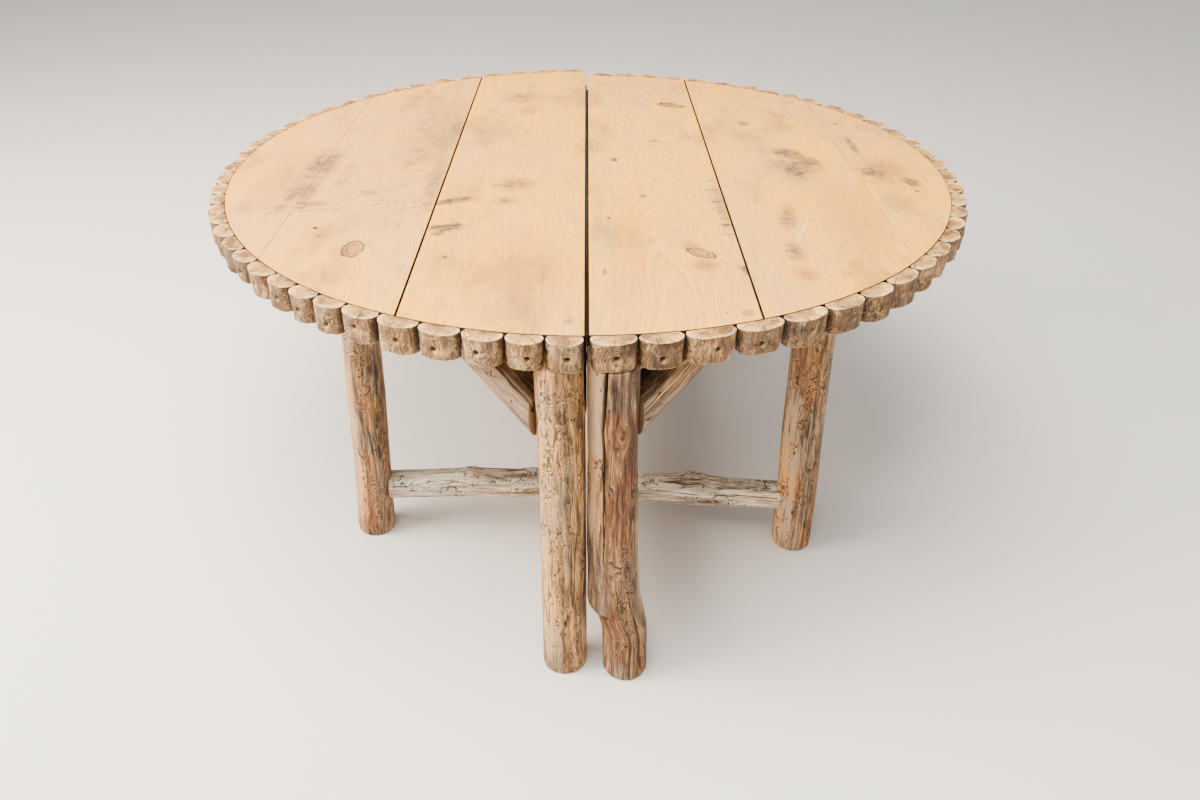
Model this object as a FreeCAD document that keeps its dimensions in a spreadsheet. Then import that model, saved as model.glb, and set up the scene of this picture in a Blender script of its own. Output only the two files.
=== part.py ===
import FreeCAD, Part
import math
import os

# Rustic hickory table, made as two D-shaped halves that stand side by side.
# Each half carries three wide boards, a ring of half-log edge slices and four peeled log legs.
# The frame has +Z up and +Y away from the viewer. Its origin is on the floor under the middle
# of the table, and the narrow gap between the halves runs along Y at X = 0.

doc = FreeCAD.newDocument("HickoryTable")
sheet = doc.addObject("Spreadsheet::Sheet", "Sizes")

# Driving dimensions in millimetres
SIZES = [
    ("top_height", 740),
    ("board_thickness", 30),
    ("half_gap", 6.4),
    ("half_reach", 826),
    ("left_length", 840),
    ("left_shift", 0),
    ("right_length", 814),
    ("right_shift", -24),
    ("seam_width", 0.8),
    ("overrun", 40),
    ("slice_height", 54),
    ("slice_projection", 35),
    ("slice_cheek", 8),
    ("slice_joint", 0.8),
    ("center_leg_radius", 43),
    ("center_leg_x", 47.5),
    ("center_leg_set_in", 9.5),
    ("slice_relief", 7),
    ("slice_clearance", 2),
    ("left_side_leg_radius", 41),
    ("right_side_leg_radius", 43.5),
    ("stretcher_height", 120),
    ("stretcher_radius", 33),
    ("leg_seat_depth", 9),
    ("log_seat_depth", 9),
    ("seat_margin", 3),
    ("tenon_radius", 15),
    ("tenon_length", 26),
    ("tenon_clearance", 0.3),
    ("mortise_spare", 2),
    ("rail_width", 38),
    ("rail_height", 60),
    ("rail_inset", 8),
    ("rail_clearance", 0.3),
    ("cleat_height", 25),
    ("cleat_gap", 0.8),
    ("cleat_clearance", 2),
    ("batten_width", 70),
    ("batten_thickness", 28),
    ("batten_set_in", 22),
    ("side_brace_radius", 40),
    ("side_brace_depth", 58),
    ("inner_brace_radius", 30),
    ("inner_brace_depth", 44),
    ("inner_brace_set", 17),
    ("brace_drop", 185),
    ("brace_back_set", 9),
    ("brace_clearance", 0.8),
]

for row, (alias, number) in enumerate(SIZES, start=1):
    sheet.set(f"A{row}", alias)
    sheet.set(f"B{row}", str(number))
    sheet.setAlias(f"B{row}", alias)
doc.recompute()

# Angles, counts and shares
LOG_SIDES = 16
BRACE_YAW = 20
BRACE_SLOPE = 45

# Each row of a log is a section: its height, radius and sideways and lengthwise drift,
# the height as a share of the log's length and the rest as shares of its radius.
STRAIGHT_LEG_SHARES = [
    (0.000, 0.95, -0.02, 0.00),
    (0.015, 1.01, -0.01, 0.00),
    (0.169, 1.02, 0.00, 0.00),
    (0.480, 1.00, 0.03, 0.00),
    (0.720, 0.99, 0.00, 0.00),
    (1.000, 0.98, 0.00, 0.00),
]
KICKED_LEG_SHARES = [
    (0.000, 0.94, 0.62, -0.52),
    (0.015, 0.99, 0.62, -0.52),
    (0.169, 0.99, 0.56, -0.42),
    (0.255, 1.08, 0.16, -0.16),
    (0.520, 1.03, 0.03, -0.04),
    (0.720, 1.00, 0.00, 0.00),
    (1.000, 1.00, 0.00, 0.00),
]
SPLAYED_LEG_SHARES = [
    (0.000, 0.96, -0.04, 0.45),
    (0.015, 1.01, -0.04, 0.45),
    (0.169, 1.02, -0.02, 0.34),
    (0.400, 1.00, 0.00, 0.10),
    (0.720, 0.99, 0.00, 0.00),
    (1.000, 0.98, 0.00, 0.00),
]
LEANING_LEG_SHARES = [
    (0.000, 0.94, -0.12, 0.00),
    (0.015, 1.00, -0.12, 0.00),
    (0.176, 1.01, 0.00, 0.00),
    (0.450, 1.04, 0.12, 0.02),
    (0.700, 0.98, 0.24, 0.03),
    (1.000, 0.96, 0.28, 0.00),
]
KNOTTY_LEG_SHARES = [
    (0.000, 0.92, 0.00, 0.00),
    (0.015, 0.97, 0.00, 0.00),
    (0.176, 1.00, 0.00, 0.00),
    (0.350, 1.02, 0.05, 0.00),
    (0.620, 1.01, 0.02, 0.00),
    (1.000, 1.03, 0.06, 0.00),
]
LONG_LOG_SHARES = [
    (0.00, 1.00, 0.00, 0.00),
    (0.24, 1.02, 0.00, 0.00),
    (0.50, 0.97, 0.08, 0.04),
    (0.76, 1.00, 0.00, 0.00),
    (1.00, 0.98, 0.00, 0.00),
]
CROSS_LOG_SHARES = [
    (0.00, 0.93, 0.00, 0.00),
    (0.22, 1.00, 0.05, 0.02),
    (0.45, 1.06, 0.02, 0.05),
    (0.62, 0.98, -0.04, 0.02),
    (1.00, 0.95, 0.00, -0.03),
]

# Widths of the edge slices as shares of each other, walked from the front gap to the back gap.
LEFT_SLICE_WIDTH_SHARES = [
    4.4, 4.6, 5.0, 5.2, 5.4, 5.1, 4.5, 4.4, 4.6, 5.2, 4.6, 4.9, 5.0, 3.8, 4.0, 3.9, 4.2, 4.9,
    5.6, 5.5, 5.8, 5.3, 5.2, 5.5, 5.4, 5.7, 5.0, 5.7, 5.3, 5.7, 5.8, 5.6, 6.2, 5.6, 5.0,
]
RIGHT_SLICE_WIDTH_SHARES = [
    5.5, 5.4, 6.2, 6.1, 6.2, 6.0, 5.3, 6.0, 5.2, 5.5, 5.0, 4.8, 4.5, 5.4, 4.8, 5.5, 6.0, 5.3,
    5.4, 5.4, 5.8, 5.9, 5.6, 5.6, 4.9, 4.8, 4.8, 5.6, 5.4, 5.2, 5.8, 5.3, 5.2,
]
# Seams between the boards, as shares of a half's reach from the gap.
LEFT_SEAM_SHARES = [0.395, 0.759]
RIGHT_SEAM_SHARES = [0.363, 0.759]
# A side leg's place across, as a share of the half's reach, and its places in front and behind
# and those of the cross stretcher's inner end, as shares of the half's length.
LEFT_LEG_PLACE_SHARES = {"across_share": 0.585, "front_share": 0.519, "back_share": 0.519}
RIGHT_LEG_PLACE_SHARES = {"across_share": 0.569, "front_share": 0.593, "back_share": 0.528}
LEFT_JOINT_SHARES = {"front_share": 0.512, "back_share": 0.512}
RIGHT_JOINT_SHARES = {"front_share": 0.552, "back_share": 0.521}
# Heights of the slices against the named height, repeated round the ring.
SLICE_HEIGHT_SHARES = [1.00, 0.96, 0.98, 0.92, 1.00, 0.95, 0.99]


def value(expression):
    """The number that an expression in the sheet's sizes gives."""
    return float(sheet.evalExpression(expression))


def bind(item, **expressions):
    """Bind properties to expressions; a double underscore stands for a dot."""
    for name, expression in expressions.items():
        item.setExpression(name.replace("__", "."), expression)


def put(item, x="0", y="0", z="0", turn="0"):
    """Bind an object's place and its turn about the upright axis, in degrees."""
    item.Placement = FreeCAD.Placement(
        FreeCAD.Vector(), FreeCAD.Rotation(FreeCAD.Vector(0, 0, 1), value(turn))
    )
    bind(item, Placement__Base__x=x, Placement__Base__y=y, Placement__Base__z=z)
    if turn != "0":
        bind(item, Placement__Rotation__Angle=turn)


def box(name, length, width, height, x="0", y="0", z="0", turn="0"):
    """A box whose low corner stands at the given place."""
    item = doc.addObject("Part::Box", name)
    bind(item, Length=length, Width=width, Height=height)
    put(item, x, y, z, turn)
    return item


def rod(name, radius, length, x="0", y="0", z="0", lying=False):
    """A cylinder that stands along Z, or lies along X."""
    item = doc.addObject("Part::Cylinder", name)
    bind(item, Radius=radius, Height=length)
    put(item, x, y, z)
    if lying:
        item.Placement.Rotation = FreeCAD.Rotation(FreeCAD.Vector(0, 1, 0), 90)
        bind(item, Placement__Base__x=x, Placement__Base__y=y, Placement__Base__z=z)
    return item


def joined(name, items):
    item = doc.addObject("Part::MultiFuse", name)
    item.Shapes = items
    return item


def grouped(name, items):
    item = doc.addObject("Part::Compound", name)
    item.Links = items
    return item


def cut(name, base, tools):
    item = doc.addObject("Part::Cut", name)
    item.Base = base
    item.Tool = tools[0] if len(tools) == 1 else grouped(name + "_tools", tools)
    return item


def log(name, length, radius, shares, lying=False):
    """A shaved log: a loft through many-sided sections, along Z or lying along X."""
    sections = []
    for number, (along, girth, aside, away) in enumerate(shares):
        ring = doc.addObject("Part::RegularPolygon", f"{name}_ring_{number}")
        ring.Polygon = LOG_SIDES
        bind(ring, Circumradius=f"{radius} * {girth}")
        axial = f"{length} * {along}"
        first = f"{radius} * {aside}"
        second = f"{radius} * {away}"
        if lying:
            put(ring, axial, first, second)
            ring.Placement.Rotation = FreeCAD.Rotation(FreeCAD.Vector(0, 1, 0), 90)
            bind(ring, Placement__Base__x=axial, Placement__Base__y=first, Placement__Base__z=second)
        else:
            put(ring, first, second, axial)
        sections.append(ring)
    item = doc.addObject("Part::Loft", name)
    item.Sections = sections
    item.Solid = True
    item.Ruled = True
    return item


PARTS = []


def keep(item, label):
    """Take an object as a finished sub-part under its own label."""
    item.Label = label
    PARTS.append(item)


def make_outline(side, length, shift):
    """The half's boards before they are sawn apart: an upright elliptical slab."""
    rim = doc.addObject("Part::Ellipse", f"{side}_rim")
    bind(rim, MajorRadius=f"max(Sizes.half_reach; {length})", MinorRadius=f"min(Sizes.half_reach; {length})")
    put(rim, "0", shift, BOARD_LOW, f"Sizes.half_reach > {length} ? 0 : 90")
    slab = doc.addObject("Part::Extrusion", f"{side}_slab")
    slab.Base = rim
    slab.DirMode = "Custom"
    slab.Dir = FreeCAD.Vector(0, 0, 1)
    slab.Solid = True
    bind(slab, LengthFwd="Sizes.board_thickness")
    return slab


BOARD_LOW = "(Sizes.top_height - Sizes.board_thickness)"
RAIL_LOW = f"({BOARD_LOW} - Sizes.rail_height)"
BATTEN_LOW = f"({BOARD_LOW} - Sizes.batten_thickness)"

class Half:
    """One D-shaped half of the table, left of the gap (sign -1) or right of it (sign +1)."""

    def __init__(self, side, sign, plan_shares, front_leg_shares, back_leg_shares, side_leg_shares):
        self.side = side
        self.sign = sign
        self.seam_shares, self.place_shares, self.joint_shares, self.slice_shares = plan_shares
        self.center_leg_shares = {"front": front_leg_shares, "back": back_leg_shares}
        self.side_leg_shares = side_leg_shares
        self.length = f"Sizes.{side}_length"
        self.shift = f"Sizes.{side}_shift"
        self.seams = [f"(Sizes.half_reach * {share})" for share in self.seam_shares]
        self.leg_x = f"({sign} * Sizes.center_leg_x)"
        self.side_leg_x = f"({sign} * Sizes.half_reach * {self.place_shares['across_share']})"
        self.side_leg_radius = f"Sizes.{side}_side_leg_radius"

    def center_leg_y(self, way):
        return f"({self.shift} + {way} * ({self.length} - Sizes.center_leg_set_in))"

    def side_leg_y(self, end, way):
        return f"({way} * {self.length} * {self.place_shares[end + '_share']})"

    def joint_y(self, end, way):
        return f"({way} * {self.length} * {self.joint_shares[end + '_share']})"

    def drift(self, end, column):
        """How far a centre leg's log stands from its axis at stretcher height."""
        share = self.center_leg_shares[end][2][column]
        across = self.sign if column == 2 else 1
        return f"({across * share} * Sizes.center_leg_radius)"

    def rim_x(self, y, set_in):
        """X of the board edge at a given Y, less a set-in."""
        return (
            f"(Sizes.half_reach * sqrt(1 - (({y} - {self.shift}) / {self.length})^2) - {set_in})"
        )

    def make_boards(self):
        """Three boards: strips of one elliptical slab, sawn apart along the seams."""
        slab = make_outline(self.side, self.length, self.shift)
        seams = ["Sizes.half_gap / 2", *self.seams, "Sizes.half_reach"]
        names = ["inner_board", "middle_board", "outer_board"]
        for number, name in enumerate(names):
            low = seams[number] if number == 0 else f"{seams[number]} + Sizes.seam_width / 2"
            last = number == len(names) - 1
            high = f"{seams[-1]} + Sizes.overrun" if last else f"{seams[number + 1]} - Sizes.seam_width / 2"
            strip = box(
                f"{self.side}_{name}_strip", f"{high} - ({low})",
                f"2 * ({self.length} + Sizes.overrun)", "Sizes.board_thickness + 2 * Sizes.overrun",
                low if self.sign > 0 else f"-({high})",
                f"{self.shift} - {self.length} - Sizes.overrun", f"{BOARD_LOW} - Sizes.overrun",
            )
            board = doc.addObject("Part::Common", f"{self.side}_{name}_sawn")
            board.Base = slab
            board.Tool = strip
            keep(board, f"{self.side}_{name}")

    def make_rail(self):
        """The sawn rail under the flat side: it lies in slots in the two centre legs."""
        front = self.center_leg_y(-1)
        back = self.center_leg_y(1)
        length = f"({back} - {front} - 2 * Sizes.rail_inset)"
        rail = box(
            f"{self.side}_rail", length, "Sizes.rail_width", "Sizes.rail_height",
            f"{self.leg_x} + Sizes.rail_width / 2", f"{front} + Sizes.rail_inset", RAIL_LOW, "90",
        )
        keep(rail, f"{self.side}_flat_side_rail")

    def make_cleat(self):
        """The strip beside the rail that closes the gap between the halves from below."""
        inner = "(Sizes.cleat_gap / 2)"
        outer = "(Sizes.center_leg_x - Sizes.rail_width / 2)"
        set_in = "(Sizes.center_leg_radius + Sizes.cleat_clearance)"
        front = f"({self.center_leg_y(-1)} + {set_in})"
        back = f"({self.center_leg_y(1)} - {set_in})"
        cleat = box(
            f"{self.side}_cleat", f"{outer} - {inner}", f"{back} - {front}", "Sizes.cleat_height",
            inner if self.sign > 0 else f"-{outer}", front, f"{BOARD_LOW} - Sizes.cleat_height",
        )
        keep(cleat, f"{self.side}_gap_cleat")

    def make_battens(self):
        """Sawn cross battens over the side legs, from the rail to just inside the rim."""
        starts = "(Sizes.center_leg_x + Sizes.rail_width / 2)"
        for end, way in (("front", -1), ("back", 1)):
            y = self.side_leg_y(end, way)
            far = self.rim_x(f"({y} + {way} * Sizes.batten_width / 2)", "Sizes.batten_set_in")
            batten = box(
                f"{self.side}_{end}_bar", f"{far} - {starts}", "Sizes.batten_width",
                "Sizes.batten_thickness", starts if self.sign > 0 else f"-{far}",
                f"{y} - Sizes.batten_width / 2", BATTEN_LOW,
            )
            keep(batten, f"{self.side}_{end}_batten")

    def socket(self, name, x, y, turn, log_radius, leg_radius, seat_depth):
        """The flat round seat and the mortise that take a stretcher's end and its tenon."""
        seat = f"({leg_radius} - {seat_depth})"
        flat = rod(
            name + "_flat", f"{log_radius} + Sizes.seat_margin", f"{leg_radius} + Sizes.overrun",
            seat, lying=True,
        )
        deep = "Sizes.tenon_length + Sizes.mortise_spare"
        mortise = rod(
            name + "_mortise", "Sizes.tenon_radius + Sizes.tenon_clearance",
            f"{deep} + Sizes.overrun", f"{seat} - ({deep})", lying=True,
        )
        tool = joined(name, [flat, mortise])
        put(tool, x, y, "Sizes.stretcher_height", turn)
        return tool

    def make_stretcher(self, label, shares, start, turn, length, near_set, far_set):
        """A log with a round tenon at each end, from one leg or log axis to another."""
        body_length = f"({length} - {near_set} - {far_set})"
        trunk = log(label + "_trunk", body_length, "Sizes.stretcher_radius", shares, lying=True)
        put(trunk, near_set)
        near = rod(
            label + "_near_tenon", "Sizes.tenon_radius", "Sizes.tenon_length + Sizes.overrun",
            f"{near_set} - Sizes.tenon_length", lying=True,
        )
        far = rod(
            label + "_far_tenon", "Sizes.tenon_radius", "Sizes.tenon_length + Sizes.overrun",
            f"{near_set} + {body_length} - Sizes.overrun", lying=True,
        )
        whole = joined(label + "_log", [trunk, near, far])
        put(whole, start[0], start[1], "Sizes.stretcher_height", turn)
        keep(whole, label)

    def make_stretchers(self):
        """One long log and two cross logs, as an H; returns the sockets of each leg."""
        leg_set = "(Sizes.center_leg_radius - Sizes.leg_seat_depth)"
        side_set = f"({self.side_leg_radius} - Sizes.leg_seat_depth)"
        log_set = "(Sizes.stretcher_radius - Sizes.log_seat_depth)"
        front = (
            f"({self.leg_x} + {self.drift('front', 2)})",
            f"({self.center_leg_y(-1)} + {self.drift('front', 3)})",
        )
        back = (
            f"({self.leg_x} + {self.drift('back', 2)})",
            f"({self.center_leg_y(1)} + {self.drift('back', 3)})",
        )
        run = (f"({back[0]} - {front[0]})", f"({back[1]} - {front[1]})")
        turn = f"atan2({run[1]}; {run[0]})"
        length = f"sqrt({run[0]}^2 + {run[1]}^2)"
        sockets = {
            ("front", "center"): self.socket(
                f"{self.side}_front_center_socket", *front, turn, "Sizes.stretcher_radius",
                "Sizes.center_leg_radius", "Sizes.leg_seat_depth",
            ),
            ("back", "center"): self.socket(
                f"{self.side}_back_center_socket", *back, f"{turn} + 180 deg", "Sizes.stretcher_radius",
                "Sizes.center_leg_radius", "Sizes.leg_seat_depth",
            ),
        }
        trunk_sockets = []
        for end, way in (("front", -1), ("back", 1)):
            joint_y = self.joint_y(end, way)
            share = f"(({joint_y} - {front[1]}) / {run[1]})"
            joint_x = f"({front[0]} + {run[0]} * {share})"
            side_x = self.side_leg_x
            side_y = self.side_leg_y(end, way)
            across = (f"({side_x} - {joint_x})", f"({side_y} - {joint_y})")
            cross_turn = f"atan2({across[1]}; {across[0]})"
            cross_length = f"sqrt({across[0]}^2 + {across[1]}^2)"
            self.make_stretcher(
                f"{self.side}_{end}_cross_stretcher", CROSS_LOG_SHARES, (joint_x, joint_y),
                cross_turn, cross_length, log_set, side_set,
            )
            sockets[(end, "side")] = self.socket(
                f"{self.side}_{end}_side_socket", side_x, side_y, f"{cross_turn} + 180 deg",
                "Sizes.stretcher_radius", self.side_leg_radius, "Sizes.leg_seat_depth",
            )
            trunk_sockets.append(self.socket(
                f"{self.side}_{end}_log_socket", joint_x, joint_y, cross_turn,
                "Sizes.stretcher_radius", "Sizes.stretcher_radius", "Sizes.log_seat_depth",
            ))
        self.make_long_stretcher(front, turn, length, leg_set, trunk_sockets)
        return sockets

    def make_long_stretcher(self, start, turn, length, leg_set, sockets):
        body_length = f"({length} - 2 * {leg_set})"
        name = f"{self.side}_long"
        trunk = log(name + "_trunk", body_length, "Sizes.stretcher_radius", LONG_LOG_SHARES, lying=True)
        put(trunk, leg_set)
        tenons = []
        for end, low in (
            ("near", f"{leg_set} - Sizes.tenon_length"),
            ("far", f"{leg_set} + {body_length} - Sizes.overrun"),
        ):
            tenons.append(rod(
                f"{name}_{end}_tenon", "Sizes.tenon_radius", "Sizes.tenon_length + Sizes.overrun",
                low, lying=True,
            ))
        whole = joined(name + "_log", [trunk] + tenons)
        put(whole, start[0], start[1], "Sizes.stretcher_height", turn)
        keep(cut(name + "_stretcher_cut", whole, sockets), f"{self.side}_long_stretcher")

    def make_legs(self, sockets):
        high = f"({BOARD_LOW} + Sizes.overrun)"
        for end, way in (("front", -1), ("back", 1)):
            name = f"{self.side}_{end}_center_leg"
            y = self.center_leg_y(way)
            shares = [
                (along, girth, self.sign * aside, away)
                for along, girth, aside, away in self.center_leg_shares[end]
            ]
            trunk = log(name + "_trunk", BOARD_LOW, "Sizes.center_leg_radius", shares)
            put(trunk, self.leg_x, y)
            reach = "(2 * Sizes.center_leg_radius + Sizes.overrun)"
            slot_width = "(Sizes.rail_width + 2 * Sizes.rail_clearance)"
            inner = f"{y} - {way} * (Sizes.rail_inset - Sizes.rail_clearance)"
            slot = box(
                name + "_slot", slot_width, reach, f"{high} - {RAIL_LOW}",
                f"{self.leg_x} - {slot_width} / 2", inner if way < 0 else f"{inner} - {reach}", RAIL_LOW,
            )
            edge = f"{self.shift} + {way} * ({self.length} - Sizes.slice_relief)"
            ledge = "(Sizes.top_height - Sizes.slice_height - Sizes.slice_clearance)"
            relief = box(
                name + "_relief", f"2 * {reach}", reach, f"{high} - {ledge}",
                f"{self.leg_x} - {reach}", edge if way > 0 else f"{edge} - {reach}", ledge,
            )
            tools = [slot, relief, sockets[(end, "center")]]
            keep(cut(name + "_cut", trunk, tools), name)

            name = f"{self.side}_{end}_side_leg"
            shares = [
                (along, girth, -self.sign * aside, away)
                for along, girth, aside, away in self.side_leg_shares
            ]
            trunk = log(name + "_trunk", BATTEN_LOW, self.side_leg_radius, shares)
            put(trunk, self.side_leg_x, self.side_leg_y(end, way))
            keep(cut(name + "_cut", trunk, [sockets[(end, "side")]]), name)

    def make_brace(self, label, radius, depth, x, y, turn, back_set, seat):
        """A half-round brace: a log hewn flat on top, mitred against its leg and its seat.

        It is built from the foot of its upright mitre, rising along +X at the slope,
        and then turned and set against the leg.
        """
        slope = math.radians(BRACE_SLOPE)
        run = math.cos(slope)
        rise = math.sin(slope)
        trunk = doc.addObject("Part::Cylinder", label + "_trunk")
        bind(trunk, Radius=radius, Height="3 * Sizes.brace_drop")
        trunk.Placement.Rotation = FreeCAD.Rotation(FreeCAD.Vector(0, 1, 0), 90 - BRACE_SLOPE)
        bind(
            trunk, Placement__Base__x=f"-{rise} * {radius} - {run} * Sizes.brace_drop / 2",
            Placement__Base__z=f"{run} * {radius} - {rise} * Sizes.brace_drop / 2",
        )
        hewn = doc.addObject("Part::Box", label + "_hewn")
        bind(hewn, Length="3 * Sizes.brace_drop", Width=f"2 * {radius}", Height=depth)
        hewn.Placement.Rotation = FreeCAD.Rotation(FreeCAD.Vector(0, 1, 0), -BRACE_SLOPE)
        bind(
            hewn, Placement__Base__x=f"-{run} * Sizes.brace_drop / 2", Placement__Base__y=f"-{radius}",
            Placement__Base__z=f"-{rise} * Sizes.brace_drop / 2",
        )
        foot = f"({BOARD_LOW} - Sizes.brace_drop)"
        top = f"({seat} - {foot})"
        mitres = box(
            label + "_mitres", "3 * Sizes.brace_drop", f"2 * ({radius} + Sizes.overrun)",
            f"{top} + Sizes.overrun", "0", f"-({radius} + Sizes.overrun)", "-Sizes.overrun",
        )
        brace = doc.addObject("Part::MultiCommon", label + "_log")
        brace.Shapes = [trunk, hewn, mitres]
        away = "(Sizes.center_leg_radius + Sizes.brace_clearance)"
        put(
            brace, f"{x} + {away} * cos({turn}) - ({back_set}) * sin({turn})",
            f"{y} + {away} * sin({turn}) + ({back_set}) * cos({turn})", foot, turn,
        )
        keep(brace, label)

    def make_braces(self):
        for end, way in (("front", -1), ("back", 1)):
            y = self.center_leg_y(way)
            outward = 0 if self.sign > 0 else 180
            yaw = outward - self.sign * way * BRACE_YAW
            self.make_brace(
                f"{self.side}_{end}_side_brace", "Sizes.side_brace_radius", "Sizes.side_brace_depth",
                self.leg_x, y, str(yaw), f"{-way * self.sign} * Sizes.brace_back_set", BOARD_LOW,
            )
            self.make_brace(
                f"{self.side}_{end}_inner_brace", "Sizes.inner_brace_radius",
                "Sizes.inner_brace_depth", self.leg_x, y, str(-90 * way),
                f"{-way * self.sign} * Sizes.inner_brace_set", RAIL_LOW,
            )

    def make_slices(self):
        """The ring of half-log slices, each flat against the board edge and rounded outwards.

        A slice's width is its share of the way round the rim, and its flat back is
        tangent to the board edge at its middle.
        """
        reach = value("Sizes.half_reach")
        length = value(self.length)
        shift = value(self.shift)
        joint = value("Sizes.slice_joint")
        start = -math.acos(value("Sizes.half_gap") / 2 / reach)
        total = sum(self.slice_shares)
        turns = [start]
        for share in self.slice_shares:
            turns.append(turns[-1] - 2 * start * share / total)

        def rim(turn):
            return FreeCAD.Vector(self.sign * reach * math.cos(turn), shift + length * math.sin(turn), 0)

        slices = []
        for number, (low, high) in enumerate(zip(turns, turns[1:])):
            middle = (low + high) / 2
            outward = FreeCAD.Vector(
                self.sign * math.cos(middle) / reach, math.sin(middle) / length, 0
            ).normalize()
            width = (rim(high) - rim(low)).Length - joint
            share = SLICE_HEIGHT_SHARES[number % len(SLICE_HEIGHT_SHARES)]
            slices.append(half_log_slice(rim(middle), outward, width, share))
        half = round(len(slices) / 2)
        for name, members in (("front_slices", slices[:half]), ("back_slices", slices[half:])):
            group = doc.addObject("Part::Feature", f"{self.side}_{name}")
            group.Shape = Part.makeCompound(members)
            keep(group, f"{self.side}_{name}")


def half_log_slice(middle, outward, width, height_share):
    """One slice of a half log, its flat back at the board edge and its round side outwards."""
    height = value("Sizes.slice_height") * height_share
    projection = value("Sizes.slice_projection")
    cheek = value("Sizes.slice_cheek")
    along = FreeCAD.Vector(-outward.y, outward.x, 0)
    low = FreeCAD.Vector(0, 0, value("Sizes.top_height") - height)

    def corner(aside, out):
        return middle + along * aside + outward * out + low

    back_low = corner(-width / 2, 0)
    back_high = corner(width / 2, 0)
    cheek_low = corner(-width / 2, cheek)
    cheek_high = corner(width / 2, cheek)
    wire = Part.Wire([
        Part.LineSegment(back_high, back_low).toShape(),
        Part.LineSegment(back_low, cheek_low).toShape(),
        Part.Arc(cheek_low, corner(0, projection), cheek_high).toShape(),
        Part.LineSegment(cheek_high, back_high).toShape(),
    ])
    return Part.Face(wire).extrude(FreeCAD.Vector(0, 0, height))


def build_half(half):
    half.make_battens()
    half.make_rail()
    half.make_cleat()
    half.make_boards()
    half.make_legs(half.make_stretchers())
    half.make_braces()
    half.make_slices()


left_plan_shares = (
    LEFT_SEAM_SHARES, LEFT_LEG_PLACE_SHARES, LEFT_JOINT_SHARES, LEFT_SLICE_WIDTH_SHARES,
)
right_plan_shares = (
    RIGHT_SEAM_SHARES, RIGHT_LEG_PLACE_SHARES, RIGHT_JOINT_SHARES, RIGHT_SLICE_WIDTH_SHARES,
)
build_half(Half(
    "left", -1, left_plan_shares, STRAIGHT_LEG_SHARES, SPLAYED_LEG_SHARES, LEANING_LEG_SHARES,
))
build_half(Half(
    "right", 1, right_plan_shares, KICKED_LEG_SHARES, STRAIGHT_LEG_SHARES, KNOTTY_LEG_SHARES,
))

doc.recompute()
for item in doc.Objects:
    if "Invalid" in item.State or "Error" in item.State:
        raise RuntimeError(f"{item.Name} did not build: {item.State}")
for item in PARTS:
    if item.Shape.isNull() or not item.Shape.isValid() or not item.Shape.Solids:
        raise RuntimeError(f"{item.Label} has no valid solid")

os.makedirs("parts", exist_ok=True)
for item in PARTS:
    item.Shape.exportStep(f"parts/{item.Label}.step")
print(f"{len(PARTS)} sub-parts written")
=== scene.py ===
import itertools
import math

import bpy
import numpy as np
from bpy.props import FloatProperty, FloatVectorProperty, PointerProperty
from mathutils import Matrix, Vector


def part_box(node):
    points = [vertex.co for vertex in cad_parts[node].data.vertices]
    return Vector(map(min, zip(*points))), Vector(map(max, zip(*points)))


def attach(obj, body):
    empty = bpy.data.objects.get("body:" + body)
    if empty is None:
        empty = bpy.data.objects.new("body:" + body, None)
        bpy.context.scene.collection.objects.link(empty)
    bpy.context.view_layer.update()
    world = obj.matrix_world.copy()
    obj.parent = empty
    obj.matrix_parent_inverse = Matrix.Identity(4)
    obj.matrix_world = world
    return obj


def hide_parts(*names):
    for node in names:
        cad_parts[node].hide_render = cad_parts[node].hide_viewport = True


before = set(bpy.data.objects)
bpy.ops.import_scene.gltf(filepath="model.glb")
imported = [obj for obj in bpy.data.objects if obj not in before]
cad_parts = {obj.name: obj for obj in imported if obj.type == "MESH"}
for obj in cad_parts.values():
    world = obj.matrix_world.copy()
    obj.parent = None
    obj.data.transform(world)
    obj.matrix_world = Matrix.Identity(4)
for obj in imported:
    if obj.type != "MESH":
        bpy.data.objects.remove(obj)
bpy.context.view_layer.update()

bl_info = {
    "name": "Rustic Hickory Table",
    "version": (1, 0, 0),
    "blender": (4, 5, 0),
    "location": "View3D > Sidebar > Hickory Table",
    "description": "Dresses a round table of two log-built halves in natural wood",
    "category": "Add Mesh",
}

# All sizes are in metres. +Z is up, +Y points away from the viewer, and the floor is Z = 0.
TOP = 0.740
BOARD_LOW = 0.710
RAIL_LOW = 0.650
BATTEN_LOW = 0.682
SLICE_LEDGE = 0.6845
# From the middle of the table to its rim, and what keeps its pieces apart: half the gap
# between the halves, half a seam between two boards or between the cleats, and the joint
# between the boards and the slices.
HALF_REACH = 0.826
GAP = 0.0040
INNER_SEAM = 0.0019
OUTER_SEAM = 0.0001
CLEAT_SEAM = 0.00005
RIM_GAP = 0.0030
# The logs, and how deep one is let into the other.
CENTER_LEG_X = 0.0475
CENTER_LEG_RADIUS = 0.043
CENTER_LEG_SET_IN = 0.0095
CENTER_LEG_RELIEF = 0.0068
STRETCHER_HEIGHT = 0.120
STRETCHER_RADIUS = 0.033
LOG_SEAT = 0.009
BRACE_DROP = 0.185
BRACE_YAW = 20
BRACE_CLEARANCE = 0.0008
# A brace: the radius of its log, its depth once it is hewn, and how far it stands back from
# the middle of the leg.
SIDE_BRACE = (0.040, 0.058, 0.009)
INNER_BRACE = (0.030, 0.044, 0.0173)

WAYS = {"front": -1, "back": 1}
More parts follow.
